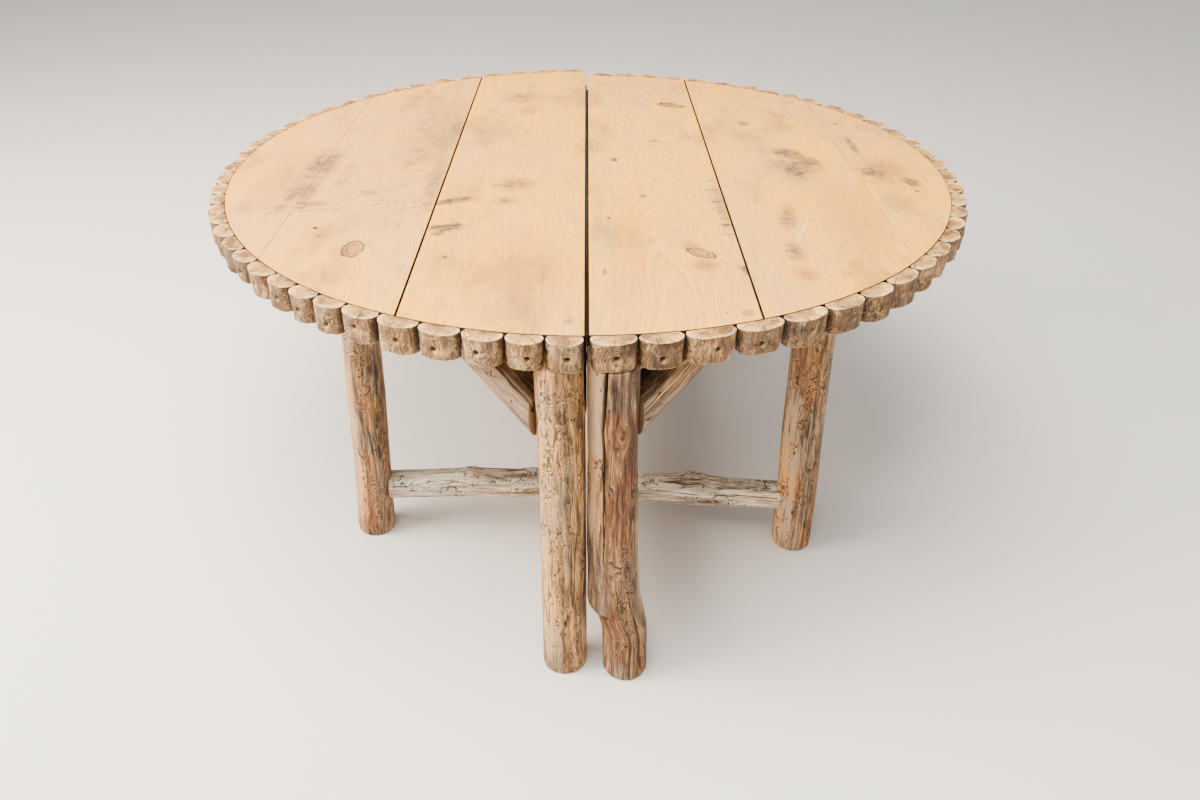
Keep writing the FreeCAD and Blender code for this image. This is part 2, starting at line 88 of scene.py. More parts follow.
# The side legs and the joints of the cross stretchers stand at shares of the half's reach
# and length, front and back.
HALVES = {
    "left": {
        "sign": -1, "length": 0.840, "shift": 0.0, "seams": (0.3263, 0.6269),
        "side_leg_radius": 0.041, "side_leg_x": 0.585, "side_leg_y": {-1: 0.519, 1: 0.519},
        "joint_y": {-1: 0.512, 1: 0.512},
    },
    "right": {
        "sign": 1, "length": 0.814, "shift": -0.024, "seams": (0.2998, 0.6269),
        "side_leg_radius": 0.0435, "side_leg_x": 0.569, "side_leg_y": {-1: 0.593, 1: 0.528},
        "joint_y": {-1: 0.552, 1: 0.521},
    },
}

# Widths of the edge slices as shares of each other, from the front gap to the back gap.
SLICE_WIDTH_SHARES = {
    "left": [
        4.4, 4.6, 5.0, 5.2, 5.4, 5.1, 4.5, 4.4, 4.6, 5.2, 4.6, 4.9, 5.0, 3.8, 4.0, 3.9, 4.2, 4.9,
        5.6, 5.5, 5.8, 5.3, 5.2, 5.5, 5.4, 5.7, 5.0, 5.7, 5.3, 5.7, 5.8, 5.6, 6.2, 5.6, 5.0,
    ],
    "right": [
        5.5, 5.4, 6.2, 6.1, 6.2, 6.0, 5.3, 6.0, 5.2, 5.5, 5.0, 4.8, 4.5, 5.4, 4.8, 5.5, 6.0, 5.3,
        5.4, 5.4, 5.8, 5.9, 5.6, 5.6, 4.9, 4.8, 4.8, 5.6, 5.4, 5.2, 5.8, 5.3, 5.2,
    ],
}
SLICE_HEIGHT_SHARES = [1.00, 0.96, 0.98, 0.92, 1.00, 0.95, 0.99]

# Each row of a log is a section: its place as a share of the log's length, and its girth and
# its drift aside and away as shares of the log's radius.
STRAIGHT_LEG = [
    (0.000, 0.95, -0.02, 0.00), (0.015, 1.01, -0.01, 0.00), (0.169, 1.02, 0.00, 0.00),
    (0.480, 1.00, 0.03, 0.00), (0.720, 0.99, 0.00, 0.00), (1.000, 0.98, 0.00, 0.00),
]
SLENDER_LEG = [
    (0.000, 0.95, -0.09, -0.12), (0.012, 0.99, -0.10, -0.12), (0.169, 0.985, -0.115, -0.06),
    (0.320, 0.975, -0.110, 0.00), (0.540, 0.965, -0.100, 0.00), (0.800, 0.985, -0.065, 0.00),
    (0.900, 0.980, -0.02, 0.00), (1.000, 0.98, 0.00, 0.00),
]
KICKED_LEG = [
    (0.000, 0.96, 0.63, -0.51), (0.012, 1.00, 0.63, -0.51), (0.150, 1.00, 0.58, -0.44),
    (0.250, 1.10, 0.13, -0.16), (0.400, 1.080, 0.00, -0.09), (0.540, 1.060, -0.02, -0.04),
    (0.720, 1.03, -0.05, 0.00), (1.000, 1.02, -0.04, 0.00),
]
SPLAYED_LEG = [
    (0.000, 0.96, -0.04, 0.45), (0.015, 1.01, -0.04, 0.45), (0.169, 1.02, -0.02, 0.34),
    (0.400, 1.00, 0.00, 0.10), (0.720, 0.99, 0.00, 0.00), (1.000, 0.98, 0.00, 0.00),
]
LEANING_LEG = [
    (0.000, 0.96, -0.20, -0.14), (0.012, 1.01, -0.20, -0.14), (0.176, 0.99, -0.11, -0.10),
    (0.450, 1.00, -0.01, -0.03), (0.700, 0.97, 0.12, 0.00), (1.000, 0.97, 0.17, 0.00),
]
KNOTTY_LEG = [
    (0.000, 0.94, 0.02, -0.18), (0.012, 0.99, 0.02, -0.18), (0.176, 1.00, 0.00, -0.12),
    (0.350, 1.00, 0.04, -0.05), (0.620, 1.00, 0.04, 0.00), (1.000, 1.03, 0.08, 0.00),
]
LONG_LOG = [
    (0.00, 1.00, 0.00, 0.00), (0.24, 1.02, 0.00, 0.00), (0.50, 0.97, 0.08, 0.04),
    (0.76, 1.00, 0.00, 0.00), (1.00, 0.98, 0.00, 0.00),
]
LOW_CROSS_LOG = [
    (0.00, 0.93, 0.00, -0.16), (0.22, 1.00, 0.05, -0.12), (0.45, 1.04, 0.02, -0.08),
    (0.62, 0.98, -0.04, -0.10), (1.00, 0.95, 0.00, -0.16),
]
CROSS_LOG = [
    (0.00, 0.93, 0.00, 0.00), (0.22, 1.00, 0.05, 0.02), (0.45, 1.06, 0.02, 0.05),
    (0.62, 0.98, -0.04, 0.02), (1.00, 0.95, 0.00, -0.03),
]


def linear(code):
    """The linear colour of an sRGB hex value such as d9b98c."""
    parts = np.array([int(code[start:start + 2], 16) / 255 for start in (0, 2, 4)])
    curve = np.where(parts <= 0.04045, parts / 12.92, ((parts + 0.055) / 1.055) ** 2.4)
    return (float(curve[0]), float(curve[1]), float(curve[2]), 1.0)


def colour_property(name, description, code):
    return FloatVectorProperty(
        name=name, description=description, subtype="COLOR", size=4, min=0.0, max=1.0,
        default=linear(code),
    )


class HickoryTableColours(bpy.types.PropertyGroup):
    board: colour_property("Board", "Sanded face of the top boards", "f7ac31")
    board_pale: colour_property("Board pale", "Pale bands of the boards", "e3a652")
    board_line: colour_property("Board grain", "Darker grain lines of the boards", "ae6c26")
    board_heart: colour_property("Board heart", "Orange-brown knots and streaks", "ac621f")
    board_stain: colour_property("Board stain", "Grey-brown stains and lines", "4b3b33")
    board_blue: colour_property("Board blue", "Small blue-grey stains", "75757a")
    slice_brown: colour_property("Slice brown", "Darkest skin of the edge slices", "331b0d")
    slice_tan: colour_property("Slice tan", "Middle skin of the edge slices", "5e3e21")
    slice_pale: colour_property("Slice pale", "Light skin of the edge slices", "815a38")
    slice_cream: colour_property("Slice cream", "Lightest skin of the edge slices", "d4a769")
    slice_shade: colour_property("Slice shade", "Darkest weathered grey of the slices", "3a2919")
    slice_grey: colour_property("Slice grey", "Middle weathered grey of the slices", "6b5139")
    slice_ash: colour_property("Slice ash", "Lightest weathered grey of the slices", "b1916a")
    end_heart: colour_property("End grain heart", "Heart and rings of the slices", "905d2a")
    end_middle: colour_property("End grain", "Sanded end grain of the slices", "c4914f")
    end_rim: colour_property("End grain sapwood", "Sapwood of the slices", "edb86b")
    # This pale colour is painted as a highlight along the rim of the slices' sawn faces. It is also
    # the colour of the chalk marks on the boards.
    end_pale: colour_property("End grain rim", "Worn pale rim of the slices", "f0d4a5")
    # This dark colour serves the marks of the logs and also painted shade: in the gap, on the board
    # sides, at the slice joints, flats and hole floors, in the cracks and under the collar.
    log_dark: colour_property("Log marks", "Beetle tracks, knots, pits and cracks", "22150b")
    sawn: colour_property("Sawn wood", "Rails and battens under the top", "b98d5b")
    screw: colour_property("Screw", "Old steel screws", "4b4641")
    floor: colour_property("Floor", "Plain pale floor", "e3ddd5")


class HickoryTableSizes(bpy.types.PropertyGroup):
    slice_height: FloatProperty(
        name="Slice height", description="Height of the tallest edge slices",
        default=0.054, min=0.02, max=0.1, unit="LENGTH",
    )
    slice_projection: FloatProperty(
        name="Slice projection", description="How far a slice stands out of the boards",
        default=0.035, min=0.01, max=0.08, unit="LENGTH",
    )
    slice_cheek: FloatProperty(
        name="Slice cheek", description="Straight part of a slice beside its flat back",
        default=0.008, min=0.0, max=0.02, unit="LENGTH",
    )
    slice_joint: FloatProperty(
        name="Slice joint", description="Gap between two slices",
        default=0.0012, min=0.0, max=0.005, unit="LENGTH",
    )
    screw_hole: FloatProperty(
        name="Screw hole", description="Radius of the sunk hole in each slice",
        default=0.0046, min=0.001, max=0.01, unit="LENGTH",
    )
    screw_depth: FloatProperty(
        name="Screw depth", description="How deep a slice's screw is sunk",
        default=0.011, min=0.001, max=0.03, unit="LENGTH",
    )
    arris: FloatProperty(
        name="Board arris", description="Worn edge of the boards",
        default=0.0007, min=0.0, max=0.005, unit="LENGTH",
    )
    log_arris: FloatProperty(
        name="Log arris", description="Rounded edge at the sawn ends of the logs",
        default=0.0035, min=0.0, max=0.01, unit="LENGTH",
    )


# ---- surfaces


def ripple(around, along, seed, turns=5, waves=8.0, count=16, fewest=0):
    """Smooth noise on a closed ring, about -1 to 1.

    It is a sum of sines, each with a whole number of turns around and a random number of
    waves along, weaker as it gets finer.
    """
    chance = np.random.default_rng(seed)
    total = np.zeros(np.broadcast(around, along).shape)
    power = 0.0
    for _ in range(count):
        turn = int(chance.integers(fewest, turns + 1))
        wave = chance.uniform(-waves, waves)
        weight = 1.0 / (1.0 + 0.5 * turn + 0.25 * abs(wave))
        total += weight * np.sin(turn * around + wave * along + chance.uniform(0, 2 * math.pi))
        power += weight * weight / 2
    return total / math.sqrt(power) * 0.5


def eased(rows, along, column):
    """A column of a log's section rows along the log, with the bends rounded off.

    The rows are joined by straight runs, which are then averaged under a bell curve.
    """
    rows = np.array(rows)
    fine = np.linspace(-0.1, 1.1, 601)
    run = np.interp(fine, rows[:, 0], rows[:, column])
    bell = np.exp(-np.linspace(-2.2, 2.2, 31) ** 2)
    padded = np.pad(run, 15, mode="edge")
    return np.interp(along, fine, np.convolve(padded, bell / bell.sum(), mode="valid"))


def ring_stack(points):
    """Vertices and faces of a closed skin over a stack of rings, shape (rings, around, 3).

    Neighbouring rings are joined by quads. The first and last ring are each closed by a fan
    round their mean point. Faces point outwards when the rings turn to the left, seen from
    the last one.
    """
    rings, around = points.shape[:2]
    corner = np.arange(rings * around).reshape(rings, around)
    after = np.roll(corner, -1, axis=1)
    quads = np.stack([corner[:-1], after[:-1], after[1:], corner[1:]], axis=-1).reshape(-1, 4)
    first = np.full(around, rings * around)
    last = first + 1
    low_fan = np.stack([after[0], corner[0], first], axis=-1)
    high_fan = np.stack([corner[-1], after[-1], last], axis=-1)
    vertices = np.concatenate([
        points.reshape(-1, 3), points[0].mean(0)[None], points[-1].mean(0)[None],
    ])
    return vertices, quads.tolist() + low_fan.tolist() + high_fan.tolist()


def stack_values(values):
    """A value for each vertex of ring_stack, the two centres taking their ring's mean."""
    flat = values.reshape(-1, *values.shape[2:])
    return np.concatenate([flat, values[0].mean(0)[None], values[-1].mean(0)[None]])


def make_piece(name, skins, material, nodes=()):
    """One mesh object out of skins, each of vertices, faces and named vertex values.

    It rides on the half that its name begins with.
    """
    vertices = []
    faces = []
    columns = {}
    for points, skin_faces, values in skins:
        start = sum(len(block) for block in vertices)
        vertices.append(points)
        faces.extend([[index + start for index in face] for face in skin_faces])
        for key, column in values.items():
            columns.setdefault(key, []).append(column)
    mesh = bpy.data.meshes.new(name)
    mesh.from_pydata(np.concatenate(vertices), [], faces)
    for key, blocks in columns.items():
        column = np.concatenate(blocks).astype(np.float32)
        kind = "FLOAT_VECTOR" if column.ndim == 2 else "FLOAT"
        layer = mesh.attributes.new(key, kind, "POINT")
        layer.data.foreach_set("vector" if column.ndim == 2 else "value", column.ravel())
    mesh.polygons.foreach_set("use_smooth", np.ones(len(mesh.polygons), dtype=bool))
    mesh.materials.append(material)
    mesh.update()
    piece = bpy.data.objects.new(name, mesh)
    bpy.context.scene.collection.objects.link(piece)
    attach(piece, name.split("_")[0] + "_half")
    if nodes:
        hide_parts(*nodes)
    return piece


# ---- shaders


def add(tree, kind, inputs=(), out=0, stops=(), **settings):
    """Add a shader node with its settings, its inputs linked or set, and give one output.

    Stops, where given, are the (place, colour) pairs of a colour ramp.
    """
    node = tree.nodes.new("ShaderNode" + kind)
    for name, setting in settings.items():
        setattr(node, name, setting)
    for name, source in dict(inputs).items():
        if isinstance(source, bpy.types.NodeSocket):
            tree.links.new(source, node.inputs[name])
        else:
            node.inputs[name].default_value = source
    for number, (place, colour) in enumerate(stops):
        elements = node.color_ramp.elements
        element = elements[number] if number < len(elements) else elements.new(place)
        element.position = place
        element.color = colour
    return node.outputs[out] if node.outputs else None


def blank(name):
    """An empty material and its node tree."""
    material = bpy.data.materials.new(name)
    material.use_nodes = True
    material.node_tree.nodes.clear()
    return material, material.node_tree


def finish_wood(tree, colour, roughness, height, depth):
    """Join colour, roughness and relief in a dry wood surface. Wood has an IOR of about 1.5."""
    relief = add(tree, "Bump", {"Strength": 1.0, "Distance": depth, "Height": height})
    skin = add(tree, "BsdfPrincipled", {
        "Base Color": colour, "Roughness": roughness, "IOR": 1.5, "Specular IOR Level": 0.35,
        "Normal": relief,
    })
    add(tree, "OutputMaterial", {"Surface": skin})


def fibre_noise(tree, place, stretch, scale, detail, roughness):
    """Noise drawn out along the third coordinate, as fibres are; scale is in cycles a metre."""
    drawn = add(tree, "VectorMath", {0: place, 1: (1, 1, stretch)}, operation="MULTIPLY")
    return add(tree, "TexNoise", {
        "Vector": drawn, "Scale": scale, "Detail": detail, "Roughness": roughness,
    })


def level_line(tree, place, scale, distortion, half_width, fade):
    """A thin line, 1 on it and 0 off it, along the places where a noise passes its middle."""
    noise = add(tree, "TexNoise", {
        "Vector": place, "Scale": scale, "Detail": 1.0, "Distortion": distortion,
    })
    offset = add(tree, "Math", {0: noise, 1: 0.5}, operation="SUBTRACT")
    level = add(tree, "Math", {0: offset}, operation="ABSOLUTE")
    return add(tree, "MapRange", {
        "Value": level, "From Min": half_width, "From Max": fade, "To Min": 1.0, "To Max": 0.0,
    }, interpolation_type="SMOOTHSTEP")


def wandering(tree, grain, place, scale):
    """The grain pushed aside by a slow noise of the place, up to about 10 mm."""
    sway = add(tree, "TexNoise", {"Vector": place, "Scale": scale, "Detail": 3.0}, out="Color")
    return add(tree, "VectorMath", {
        0: sway, 1: (0.022, 0.022, 0), 2: grain,
    }, operation="MULTIPLY_ADD")


def cloud_channels(tree, place, scale, detail):
    """Three slow noises, one in each channel."""
    cloud = add(tree, "TexNoise", {"Vector": place, "Scale": scale, "Detail": detail}, out="Color")
    return add(tree, "SeparateColor", {"Color": cloud}).node.outputs


def beetle_tracks(tree, place, scale, distortion, track, lip, lip_share, kept):
    """Winding tracks and the pale lips beside them, where kept lets them be.

    Track and lip are each the half width and the fade of a level line of the same noise.
    """
    tracks = level_line(tree, place, scale, distortion, *track)
    tracks = add(tree, "Math", {0: tracks, 1: kept}, operation="MULTIPLY")
    lips = level_line(tree, place, scale, distortion, *lip)
    lips = add(tree, "Math", {0: lips, 1: kept}, operation="MULTIPLY")
    return tracks, add(tree, "Math", {0: lips, 1: lip_share}, operation="MULTIPLY")


def pit_marks(tree, place, scale, rarity, inner, outer):
    """Small round marks in some of the cells of a cell pattern; scale is in cells a metre."""
    cells = add(tree, "TexVoronoi", {"Vector": place, "Scale": scale}).node.outputs
    chosen = add(tree, "SeparateColor", {"Color": cells["Color"]}).node.outputs
    near = add(tree, "MapRange", {
        "Value": cells["Distance"], "From Min": inner, "From Max": outer, "To Min": 1.0,
        "To Max": 0.0,
    }, interpolation_type="SMOOTHSTEP")
    picked = add(tree, "Math", {0: chosen[0], 1: rarity}, operation="GREATER_THAN")
    return add(tree, "Math", {0: near, 1: picked}, operation="MULTIPLY")


def log_wood(name, colours, warm, weathered, grey_share, track_share):
    """Peeled, weathered hickory: a debarked log left outdoors and lightly brushed.

    The grain attribute gives each point's place in the straightened log, in metres, and slow
    noise bends it so that the grain wanders 10 mm aside. Ridges about 12 mm wide, streaks
    about 6 mm and fibres about 3 mm wide, coarser than the real ones so that they show, run
    along it in four warm tones, and in three weathered grey tones on hand-sized patches. Thin
    drying checks, pits of 1 to 2 mm and 1.5 mm beetle tracks with pale lips lie over it.
    """
    material, tree = blank(name)
    grain = add(tree, "Attribute", out="Vector", attribute_name="grain")
    dark, light, end = (
        add(tree, "Attribute", out="Fac", attribute_name=name) for name in ("dark", "pale", "end")
    )
    slow = add(tree, "VectorMath", {0: grain, 1: (1, 1, 0.3)}, operation="MULTIPLY")
    bent = wandering(tree, grain, slow, 26.0)
    ridges = fibre_noise(tree, bent, 0.075, 78.0, 6.0, 0.68)
    streaks = fibre_noise(tree, bent, 0.050, 165.0, 4.0, 0.70)
    fibres = fibre_noise(tree, bent, 0.060, 330.0, 3.0, 0.60)
    patches = cloud_channels(tree, slow, 17.0, 4.0)
    tone = ridges
    for share, part in ((0.45, streaks), (0.25, patches[0]), (0.22, fibres)):
        tone = add(tree, "Mix", {0: share, 2: tone, 3: part})
    # The pale attribute lifts the tone: paler wood, and on the front legs' left sides also painted
    # light from the left.
    tone = add(tree, "Math", {0: light, 1: 0.075, 2: tone}, operation="MULTIPLY_ADD")
    stops = zip((0.42, 0.465, 0.512, 0.560), warm)
    colour = add(tree, "ValToRGB", {"Fac": tone}, stops=stops)
    stops = zip((0.42, 0.488, 0.560), weathered)
    greyed = add(tree, "ValToRGB", {"Fac": tone}, stops=stops)
    where = add(tree, "Math", {0: light, 1: 0.06, 2: patches[1]}, operation="MULTIPLY_ADD")
    where = add(tree, "MapRange", {
        "Value": where, "From Min": 0.62 - 0.24 * grey_share, "From Max": 0.70 - 0.24 * grey_share,
        "To Max": 0.9,
    }, interpolation_type="SMOOTHSTEP")

    # Beetle tracks and checks are level lines of a noise, kept only in patches.
    maze = add(tree, "VectorMath", {0: grain, 1: (1, 1, 0.60)}, operation="MULTIPLY")
    checks = add(tree, "VectorMath", {0: bent, 1: (1, 1, 0.035)}, operation="MULTIPLY")
    checks = level_line(tree, checks, 40.0, 0.0, 0.007, 0.018)
    chosen = cloud_channels(tree, slow, 28.0, 3.0)
    kept_tracks = add(tree, "MapRange", {
        "Value": chosen[0], "From Min": 0.60 - 0.18 * track_share,
        "From Max": 0.64 - 0.18 * track_share,
    }, interpolation_type="SMOOTHSTEP")
    kept_checks = add(tree, "MapRange", {
        "Value": chosen[1], "From Min": 0.50, "From Max": 0.58,
    }, interpolation_type="SMOOTHSTEP")
    tracks, lips = beetle_tracks(
        tree, maze, 42.0, 2.2, (0.022, 0.045), (0.055, 0.10), 0.60, kept_tracks,
    )
    checks = add(tree, "Math", {0: checks, 1: kept_checks}, operation="MULTIPLY")
    drawn = add(tree, "VectorMath", {0: grain, 1: (1, 1, 0.55)}, operation="MULTIPLY")
    pits = pit_marks(tree, drawn, 62.0, 0.50, 0.08, 0.15)
    marks = tracks
    for more in (pits, checks):
        marks = add(tree, "Math", {0: marks, 1: more}, operation="MAXIMUM")
    soft = add(tree, "Math", {0: marks, 1: 0.85}, operation="MULTIPLY")

    # Sawn ends: rings about 3 mm apart round the log's axis, on paler wood.
    across = add(tree, "VectorMath", {0: grain, 1: (1, 1, 0)}, operation="MULTIPLY")
    radius = add(tree, "VectorMath", {0: across}, out="Value", operation="LENGTH")
    wobble = add(tree, "Math", {0: patches[0], 1: 0.006, 2: radius}, operation="MULTIPLY_ADD")
    rings = add(tree, "Math", {0: wobble, 1: 2100.0}, operation="MULTIPLY")
    rings = add(tree, "Math", {0: rings}, operation="SINE")
    rings = add(tree, "MapRange", {
        "Value": rings, "From Min": -1.0, "To Min": 0.55, "To Max": 0.05,
    })
    deep = colours.log_dark
    sawn = add(tree, "Mix", {0: rings, 6: warm[3], 7: warm[1]}, out=2, data_type="RGBA")
    # The dark attribute holds the knots, scars and curls. It also holds painted shade inside the
    # cracks, and a painted shadow under the collar.
    coats = [(where, greyed), (lips, warm[3]), (soft, deep), (end, sawn), (dark, deep)]
    for amount, coat in coats:
        colour = add(tree, "Mix", {0: amount, 6: colour, 7: coat}, out=2, data_type="RGBA")
    height = ridges
    for part, share in ((streaks, 0.55), (fibres, 0.30), (marks, -0.40)):
        height = add(tree, "Math", {0: part, 1: share, 2: height}, operation="MULTIPLY_ADD")
    roughness = add(tree, "MapRange", {"Value": ridges, "To Min": 0.55, "To Max": 0.75})
    finish_wood(tree, colour, roughness, height, 0.0045)
    return material


def slice_wood(name, colours):
    """Half-log slices: peeled, weathered skin outside, sanded end grain above and below.

    The skin has upright streaks about 12 mm wide, finer ones of 5 mm and fibres of 3 mm in
    four warm tones, moved lighter or darker for each slice by its tone attribute, and in three
    grey ones in patches, fewer or more by its warmth, with dark flecks, worm holes and tracks
    with pale lips. The end grain is beige with soft rings about 6 mm apart, read from the ring
    attribute, an orange-brown heart, a pale rim that is a painted highlight along its edge,
    brown worn patches, a few radial checks and small specks.
    """
    material, tree = blank(name)
    grain = add(tree, "Attribute", out="Vector", attribute_name="grain")
    star = add(tree, "Attribute", out="Vector", attribute_name="star")
    dark, end, ring, rim, tone, warmth, fresh_chip_and_highlight = (
        add(tree, "Attribute", out="Fac", attribute_name=name)
        for name in ("dark", "end", "ring", "rim", "tone", "warmth", "fresh_chip_and_highlight")
    )
    bent = wandering(tree, grain, grain, 34.0)
    streaks = fibre_noise(tree, bent, 0.16, 82.0, 6.0, 0.70)
    lines = fibre_noise(tree, bent, 0.11, 190.0, 4.0, 0.70)
    fibres = fibre_noise(tree, bent, 0.10, 330.0, 3.0, 0.6)
    patches = cloud_channels(tree, grain, 30.0, 4.0)
    mixed = streaks
    for share, part in ((0.40, lines), (0.30, patches[0]), (0.18, fibres)):
        mixed = add(tree, "Mix", {0: share, 2: mixed, 3: part})
    shift = add(tree, "MapRange", {"Value": tone, "To Min": -0.030, "To Max": 0.030})
    shifted = add(tree, "Math", {0: mixed, 1: shift}, operation="ADD")
    skin = add(tree, "ValToRGB", {"Fac": shifted}, stops=[
        (0.39, colours.slice_brown), (0.455, colours.slice_tan), (0.518, colours.slice_pale),
        (0.580, colours.slice_cream),
    ])
    greyed = add(tree, "ValToRGB", {"Fac": shifted}, stops=[
        (0.42, colours.slice_shade), (0.485, colours.slice_grey), (0.560, colours.slice_ash),
    ])
    where = add(tree, "Math", {0: warmth, 1: -0.10, 2: patches[1]}, operation="MULTIPLY_ADD")
    where = add(tree, "MapRange", {
        "Value": where, "From Min": 0.44, "From Max": 0.54, "To Max": 0.75,
    }, interpolation_type="SMOOTHSTEP")
    worm = add(tree, "VectorMath", {0: grain, 1: (1, 1, 0.6)}, operation="MULTIPLY")
    holes = pit_marks(tree, worm, 85.0, 0.62, 0.08, 0.17)
    kept = add(tree, "MapRange", {
        "Value": patches[2], "From Min": 0.50, "From Max": 0.55,
    }, interpolation_type="SMOOTHSTEP")
    tracks, lips = beetle_tracks(
        tree, worm, 52.0, 2.0, (0.024, 0.050), (0.060, 0.11), 0.55, kept,
    )
    blots = fibre_noise(tree, bent, 0.22, 42.0, 5.0, 0.75)
    blot = add(tree, "MapRange", {
        "Value": blots, "From Min": 0.57, "From Max": 0.70, "To Max": 0.34,
    }, interpolation_type="SMOOTHSTEP")
    marks = holes
    for more in (blot, tracks):
        marks = add(tree, "Math", {0: marks, 1: more}, operation="MAXIMUM")
    soft = add(tree, "Math", {0: marks, 1: 0.80}, operation="MULTIPLY")
    deep = colours.log_dark
    # The chip below each hole takes the sapwood colour: fresh wood, and a painted highlight.
    coats = [
        (where, greyed), (lips, colours.slice_cream), (soft, deep), (fresh_chip_and_highlight, colours.end_rim),
    ]
    for amount, coat in coats:
        skin = add(tree, "Mix", {0: amount, 6: skin, 7: coat}, out=2, data_type="RGBA")

    # Sawn ends: soft rings, worn patches, a pale rim that is a painted highlight along the edge,
    # and radial checks.
    wander = add(tree, "Math", {0: patches[0], 1: 0.45, 2: ring}, operation="MULTIPLY_ADD")
    turns = add(tree, "Math", {0: wander, 1: 38.0}, operation="MULTIPLY")
    waves = add(tree, "Math", {0: turns}, operation="SINE")
    bands = add(tree, "MapRange", {"Value": waves, "From Min": 0.0, "To Max": 0.75})
    heart = add(tree, "MapRange", {"Value": wander, "From Max": 1.4})
    sawn = add(tree, "ValToRGB", {"Fac": heart}, stops=[
        (0.22, colours.end_heart), (0.42, colours.end_middle), (0.66, colours.end_middle),
        (0.82, colours.end_rim),
    ])
    patchy = add(tree, "MapRange", {
        "Value": patches[2], "From Min": 0.40, "From Max": 0.62,
    }, interpolation_type="SMOOTHSTEP")
    bands = add(tree, "Math", {0: bands, 1: patchy}, operation="MULTIPLY")
    worn = add(tree, "MapRange", {
        "Value": patches[1], "From Min": 0.49, "From Max": 0.64, "To Max": 0.75,
    }, interpolation_type="SMOOTHSTEP")
    # Painted highlight: a pale rim along the edge of each sawn face.
    edge = add(tree, "Math", {0: patches[1], 1: 0.10, 2: rim}, operation="MULTIPLY_ADD")
    edge = add(tree, "MapRange", {
        "Value": edge, "From Min": 0.95, "From Max": 1.04, "To Max": 0.45,
    }, interpolation_type="SMOOTHSTEP")
    rays = fibre_noise(tree, star, 0.25, 2.6, 4.0, 0.6)
    rays = add(tree, "MapRange", {
        "Value": rays, "From Min": 0.57, "From Max": 0.64, "To Max": 0.75,
    }, interpolation_type="SMOOTHSTEP")
    specks = pit_marks(tree, grain, 110.0, 0.80, 0.10, 0.20)
    coats = [
        (bands, colours.end_heart), (worn, colours.slice_tan), (edge, colours.end_pale),
        (rays, colours.slice_brown), (specks, colours.slice_brown),
    ]
    for amount, coat in coats:
        sawn = add(tree, "Mix", {0: amount, 6: sawn, 7: coat}, out=2, data_type="RGBA")
    colour = skin
    # Painted shade: the dark attribute darkens the joints, the flat and the hole floors.
    for amount, coat in ((end, sawn), (dark, deep)):
        colour = add(tree, "Mix", {0: amount, 6: colour, 7: coat}, out=2, data_type="RGBA")
    height = streaks
    for part, share in ((lines, 0.6), (marks, -0.4)):
        height = add(tree, "Math", {0: part, 1: share, 2: height}, operation="MULTIPLY_ADD")
    roughness = add(tree, "MapRange", {"Value": streaks, "To Min": 0.5, "To Max": 0.7})
    finish_wood(tree, colour, roughness, height, 0.0040)
    return material
